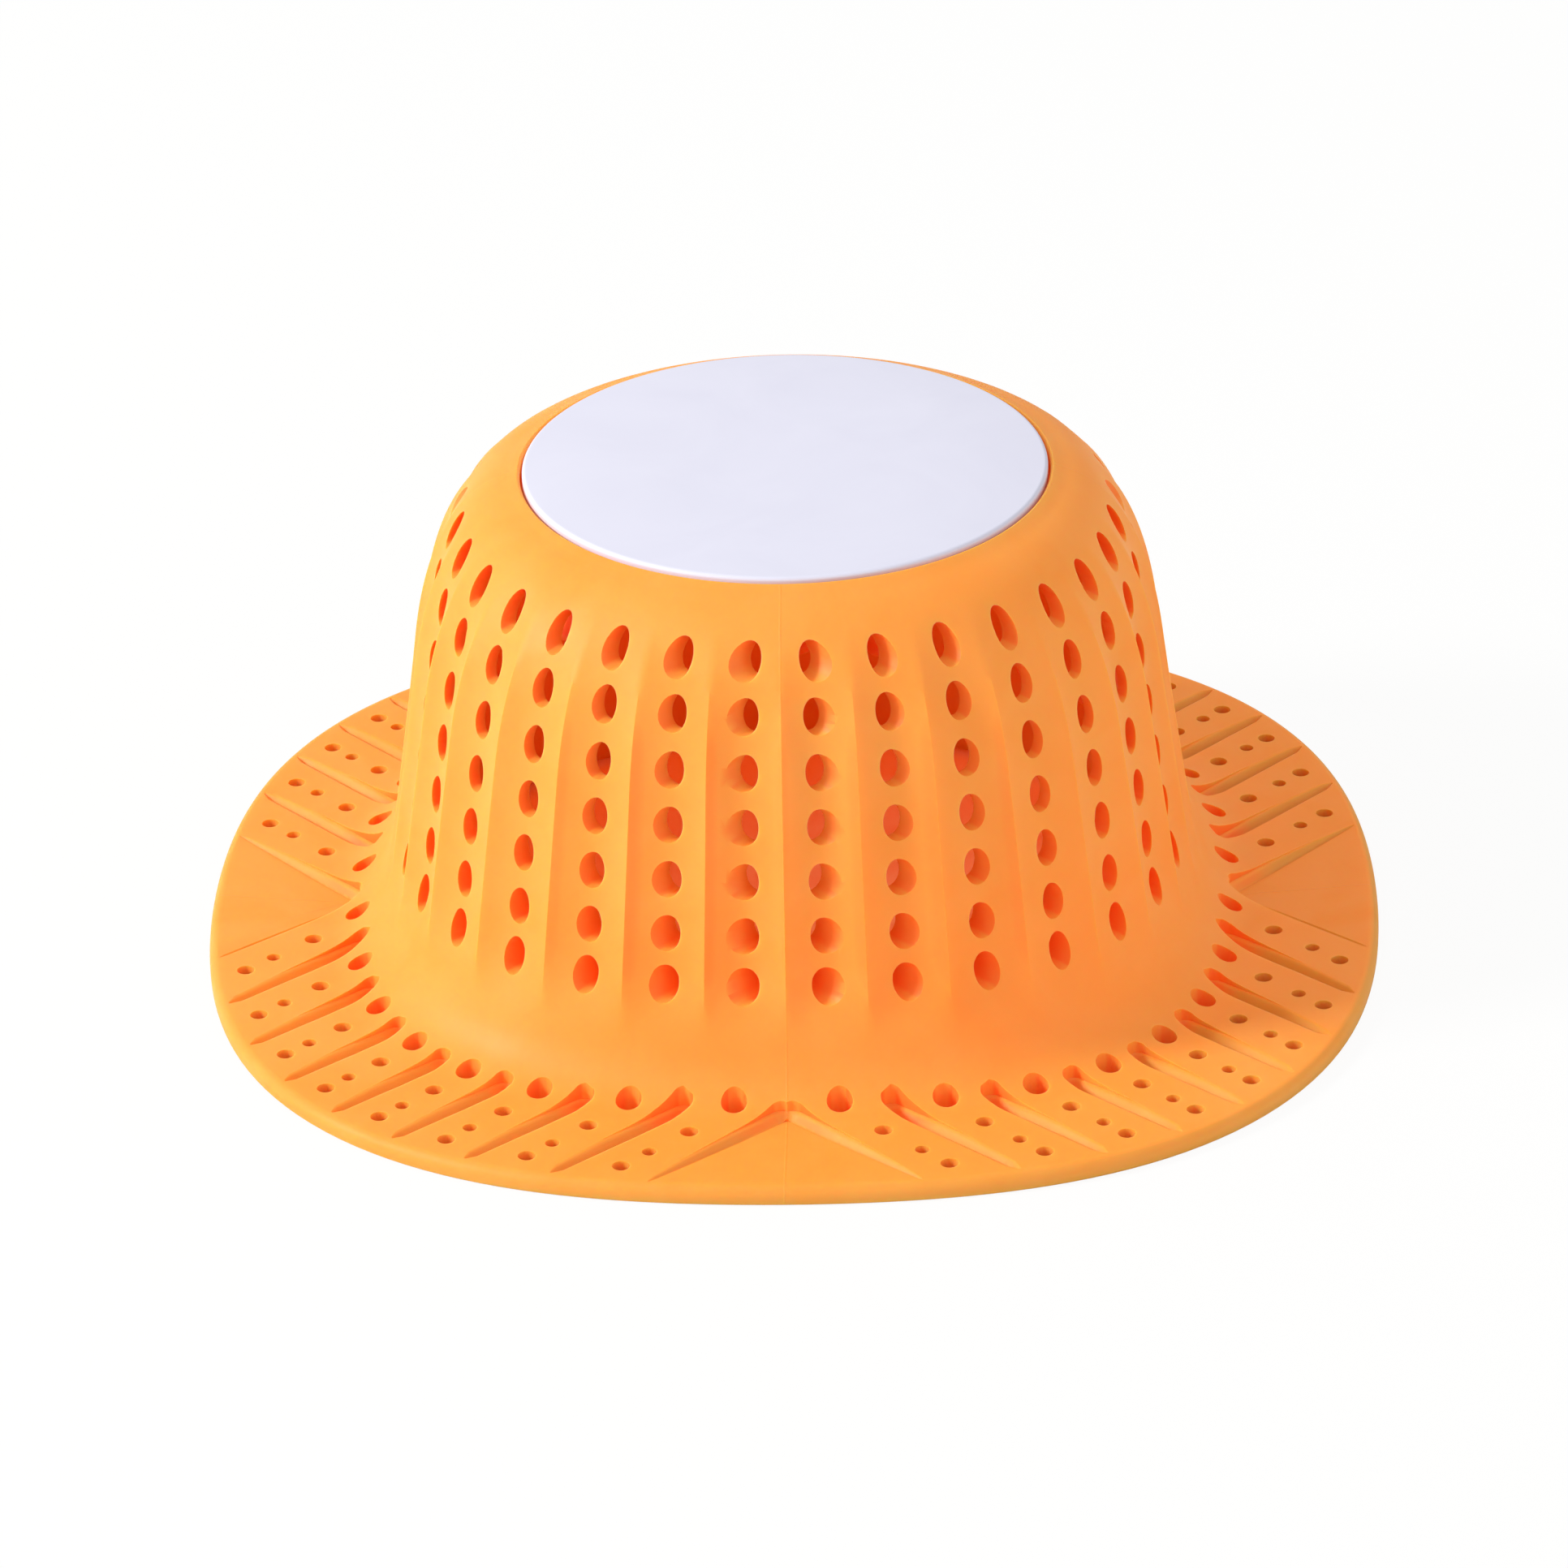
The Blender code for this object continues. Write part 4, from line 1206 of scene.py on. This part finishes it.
# %% [markdown]
# The hard white plastics
#
# The cap is satin with a faint violet cast, and the cup is a plainer white. The two differ only in
# colour, gloss and the size of their clouds, so one helper makes both.

# %% The cap's and the cup's plastic
HARD_GRAIN_SCALE = 3200.0
HARD_BUMP = (0.12, 0.02 * MM)
CAP_COLOURS = ((0.72, 0.72, 0.85), (0.76, 0.76, 0.89))
CAP_ROUGHNESS = (0.55, 0.4)
CAP_CLOUD_SCALE = 55.0
CUP_COLOURS = ((0.76, 0.76, 0.79), (0.80, 0.80, 0.83))
CUP_ROUGHNESS = (0.6, 0.45)
CUP_CLOUD_SCALE = 60.0


def finish_plastic(material, colours, roughness, cloud_scale):
    """A satin hard plastic with a fine grain and faint clouds."""
    tree, surface, place = start_material(material)
    grain, clouds = add_moulding(tree, place, HARD_GRAIN_SCALE, cloud_scale)
    look = {"IOR": 1.46, "Subsurface Weight": 0.0, "Normal": bumped(tree, grain, *HARD_BUMP)}
    look["Base Color"] = mixed_colour(tree, clouds, *colours)
    look["Roughness"] = ranged_value(tree, clouds, *roughness)
    set_inputs(tree, surface, look)


finish_plastic(cap_white, CAP_COLOURS, CAP_ROUGHNESS, CAP_CLOUD_SCALE)
finish_plastic(cup_white, CUP_COLOURS, CUP_ROUGHNESS, CUP_CLOUD_SCALE)
print("hard plastics:", cap_white.name, cup_white.name)

# %% [markdown]
# The steel plate
#
# The ballast is a turned stainless plate, and the tool leaves fine rings on its face. The rings follow
# the distance from the axis, so the noise reads that distance and the height alone.

# %% Turned steel
RING_SCALE = 5200.0
STEEL_COLOURS = ((0.56, 0.56, 0.58), (0.68, 0.68, 0.69))
STEEL_ROUGHNESS = (0.24, 0.42)
STEEL_BUMP = (0.2, 0.02 * MM)


def finish_steel():
    tree, surface, place = start_material(plate_steel)
    parts = parts_of(tree, place)
    radius, _ = distance_from_axis(tree, parts)
    rings = vector_of(tree, radius, z=parts["Z"])
    noise = {"Vector": rings, "Scale": RING_SCALE, "Detail": 2.0}
    marks = add_node(tree, "ShaderNodeTexNoise", noise).outputs[0]
    look = {"Metallic": 1.0, "Normal": bumped(tree, marks, *STEEL_BUMP)}
    look["Base Color"] = mixed_colour(tree, marks, *STEEL_COLOURS)
    look["Roughness"] = ranged_value(tree, marks, *STEEL_ROUGHNESS)
    set_inputs(tree, surface, look)


finish_steel()
print("steel:", plate_steel.name)

# %% [markdown]
# Floor, world and lamps
#
# The picture has a white ground with a hardly visible shadow and a soft light from the upper left. The
# floor is a plain white sheet. To the camera it also glows a little, so that it reads as white paper
# while the lamps stay at a level where colours render as written. The world does the same: white where
# it is seen, and dimmer where it lights the object. A weak large lamp on the right lifts the shaded
# side. Each lamp in the table has its place and its side in metres, its power in watts and its colour.
# Light that has passed through the orange wall would tint the floor inside, which a path tracer leaves out
# with this kind of subsurface light, so that light is painted on the floor under the dome: a yellowish
# colour and a faint red glow that the camera sees.

# %% Studio
FLOOR_HALF = 3.0
FLOOR_DROP = 0.1 * MM
FLOOR_GLOW_SHARE = 0.93
FLOOR_GLOW_START = RIM_RADIUS * 0.8
FLOOR_GLOW_FULL = RIM_RADIUS * 0.93
# Painted light under the dome: a yellowish floor colour and a faint red glow stand in for light passed
# through the orange wall.
FLOOR_PAINTED_LIGHT_FULL = 44.0 * MM
FLOOR_PAINTED_LIGHT_END = 50.0 * MM
FLOOR_PAINTED_GLOW_LEVEL = 0.34
PAPER = (0.9, 0.9, 0.9)
PAPER_PAINTED_LIGHT_UNDER_DOME = (0.9, 0.8, 0.4)
PAPER_GLOW = (1.0, 1.0, 0.995, 1.0)
WORLD_LEVEL = 0.64


def seen_directly(tree):
    """One where a ray comes straight from the camera, else none."""
    return add_node(tree, "ShaderNodeLightPath").outputs["Is Camera Ray"]


def make_floor():
    shape = bmesh.new()
    bmesh.ops.create_grid(shape, x_segments=1, y_segments=1, size=FLOOR_HALF)
    bmesh.ops.translate(shape, verts=shape.verts, vec=(0.0, 0.0, -FLOOR_DROP))
    mesh = bpy.data.meshes.new("studio_floor")
    shape.to_mesh(mesh)
    shape.free()
    floor = new_object("studio_floor", mesh)
    paper = bpy.data.materials.new("white_floor")
    tree, surface, place = start_material(paper)
    look = {"Roughness": 0.9, "Specular IOR Level": 0.2, "Emission Color": PAINTED_GLOW_RED}
    away = add_node(tree, "ShaderNodeVectorMath", {0: place}, operation="LENGTH").outputs["Value"]
    # Painted light: under the dome the floor is yellowish and glows faint red to the camera.
    painted_light_under_dome = ranged_value(tree, away, start=FLOOR_PAINTED_LIGHT_END, end=FLOOR_PAINTED_LIGHT_FULL)
    look["Base Color"] = mixed_colour(tree, painted_light_under_dome, PAPER, PAPER_PAINTED_LIGHT_UNDER_DOME)
    look["Emission Strength"] = product(tree, painted_light_under_dome, FLOOR_PAINTED_GLOW_LEVEL, seen_directly(tree))
    set_inputs(tree, surface, look)
    outside = ranged_value(tree, away, start=FLOOR_GLOW_START, end=FLOOR_GLOW_FULL)
    share = product(tree, seen_directly(tree), FLOOR_GLOW_SHARE, outside)
    glow = add_node(tree, "ShaderNodeEmission", {"Color": PAPER_GLOW, "Strength": 1.0})
    mix = add_node(tree, "ShaderNodeMixShader", {0: share, 1: surface.outputs[0], 2: glow.outputs[0]})
    set_inputs(tree, tree.nodes["Material Output"], {"Surface": mix.outputs[0]})
    mesh.materials.append(paper)
    floor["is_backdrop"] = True


def make_world():
    world = bpy.data.worlds.new("studio")
    world.use_nodes = True
    tree = world.node_tree
    strength = ranged_value(tree, seen_directly(tree), WORLD_LEVEL, 1.0)
    set_inputs(tree, tree.nodes["Background"], {"Color": (1.0, 1.0, 1.0, 1.0), "Strength": strength})
    bpy.context.scene.world = world


def add_lamp(name, place, size, power, colour):
    """A square soft box that faces the middle of the object."""
    data = bpy.data.lights.new(name, "AREA")
    data.shape = "SQUARE"
    data.size = size
    data.energy = power
    data.color = colour
    aim = (LAMP_TARGET - place).to_track_quat("-Z", "Y").to_matrix().to_4x4()
    new_object(name, data).matrix_world = Matrix.Translation(place) @ aim


LAMP_TARGET = Vector((0.0, 0.0, 30.0 * MM))
LAMPS = (
    ("key_lamp", Vector((-1.16, -0.30, 0.76)), 0.28, 16.6, (1.0, 0.985, 0.96)),
    ("side_fill", Vector((1.1, -0.8, 0.5)), 0.8, 2.2, (1.0, 1.0, 1.0)),
)
make_floor()
make_world()
for lamp in LAMPS:
    add_lamp(*lamp)
print("floor, world and", len(LAMPS), "lamps")

# %% [markdown]
# The pieces on one body
#
# Nothing on this object moves by itself, so every piece rides on the one body. Each fine piece stands
# for an imported solid, which is hidden. Last, the model's box is printed beside the box of the
# imported model.

# %% Put every piece on the body and hide the imported solid it stands for
for piece, node, slot in (
    (skin, "strainer_body", "soft_moulding"),
    (cap, "cap_disc", "white_cap"),
    (plate, "ballast_plate", "ballast_steel"),
    (cup, "retaining_cup", "cup_plastic"),
):
    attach(piece, "root")
    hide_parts(node)
    print(piece.name, "stands for", node)

visual_box = [list(corner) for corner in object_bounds()]
for label, corners in (("packed", CAD_BOX), ("finished", visual_box)):
    print(label, [round((high - low) / MM, 2) for low, high in zip(*corners)], "mm")
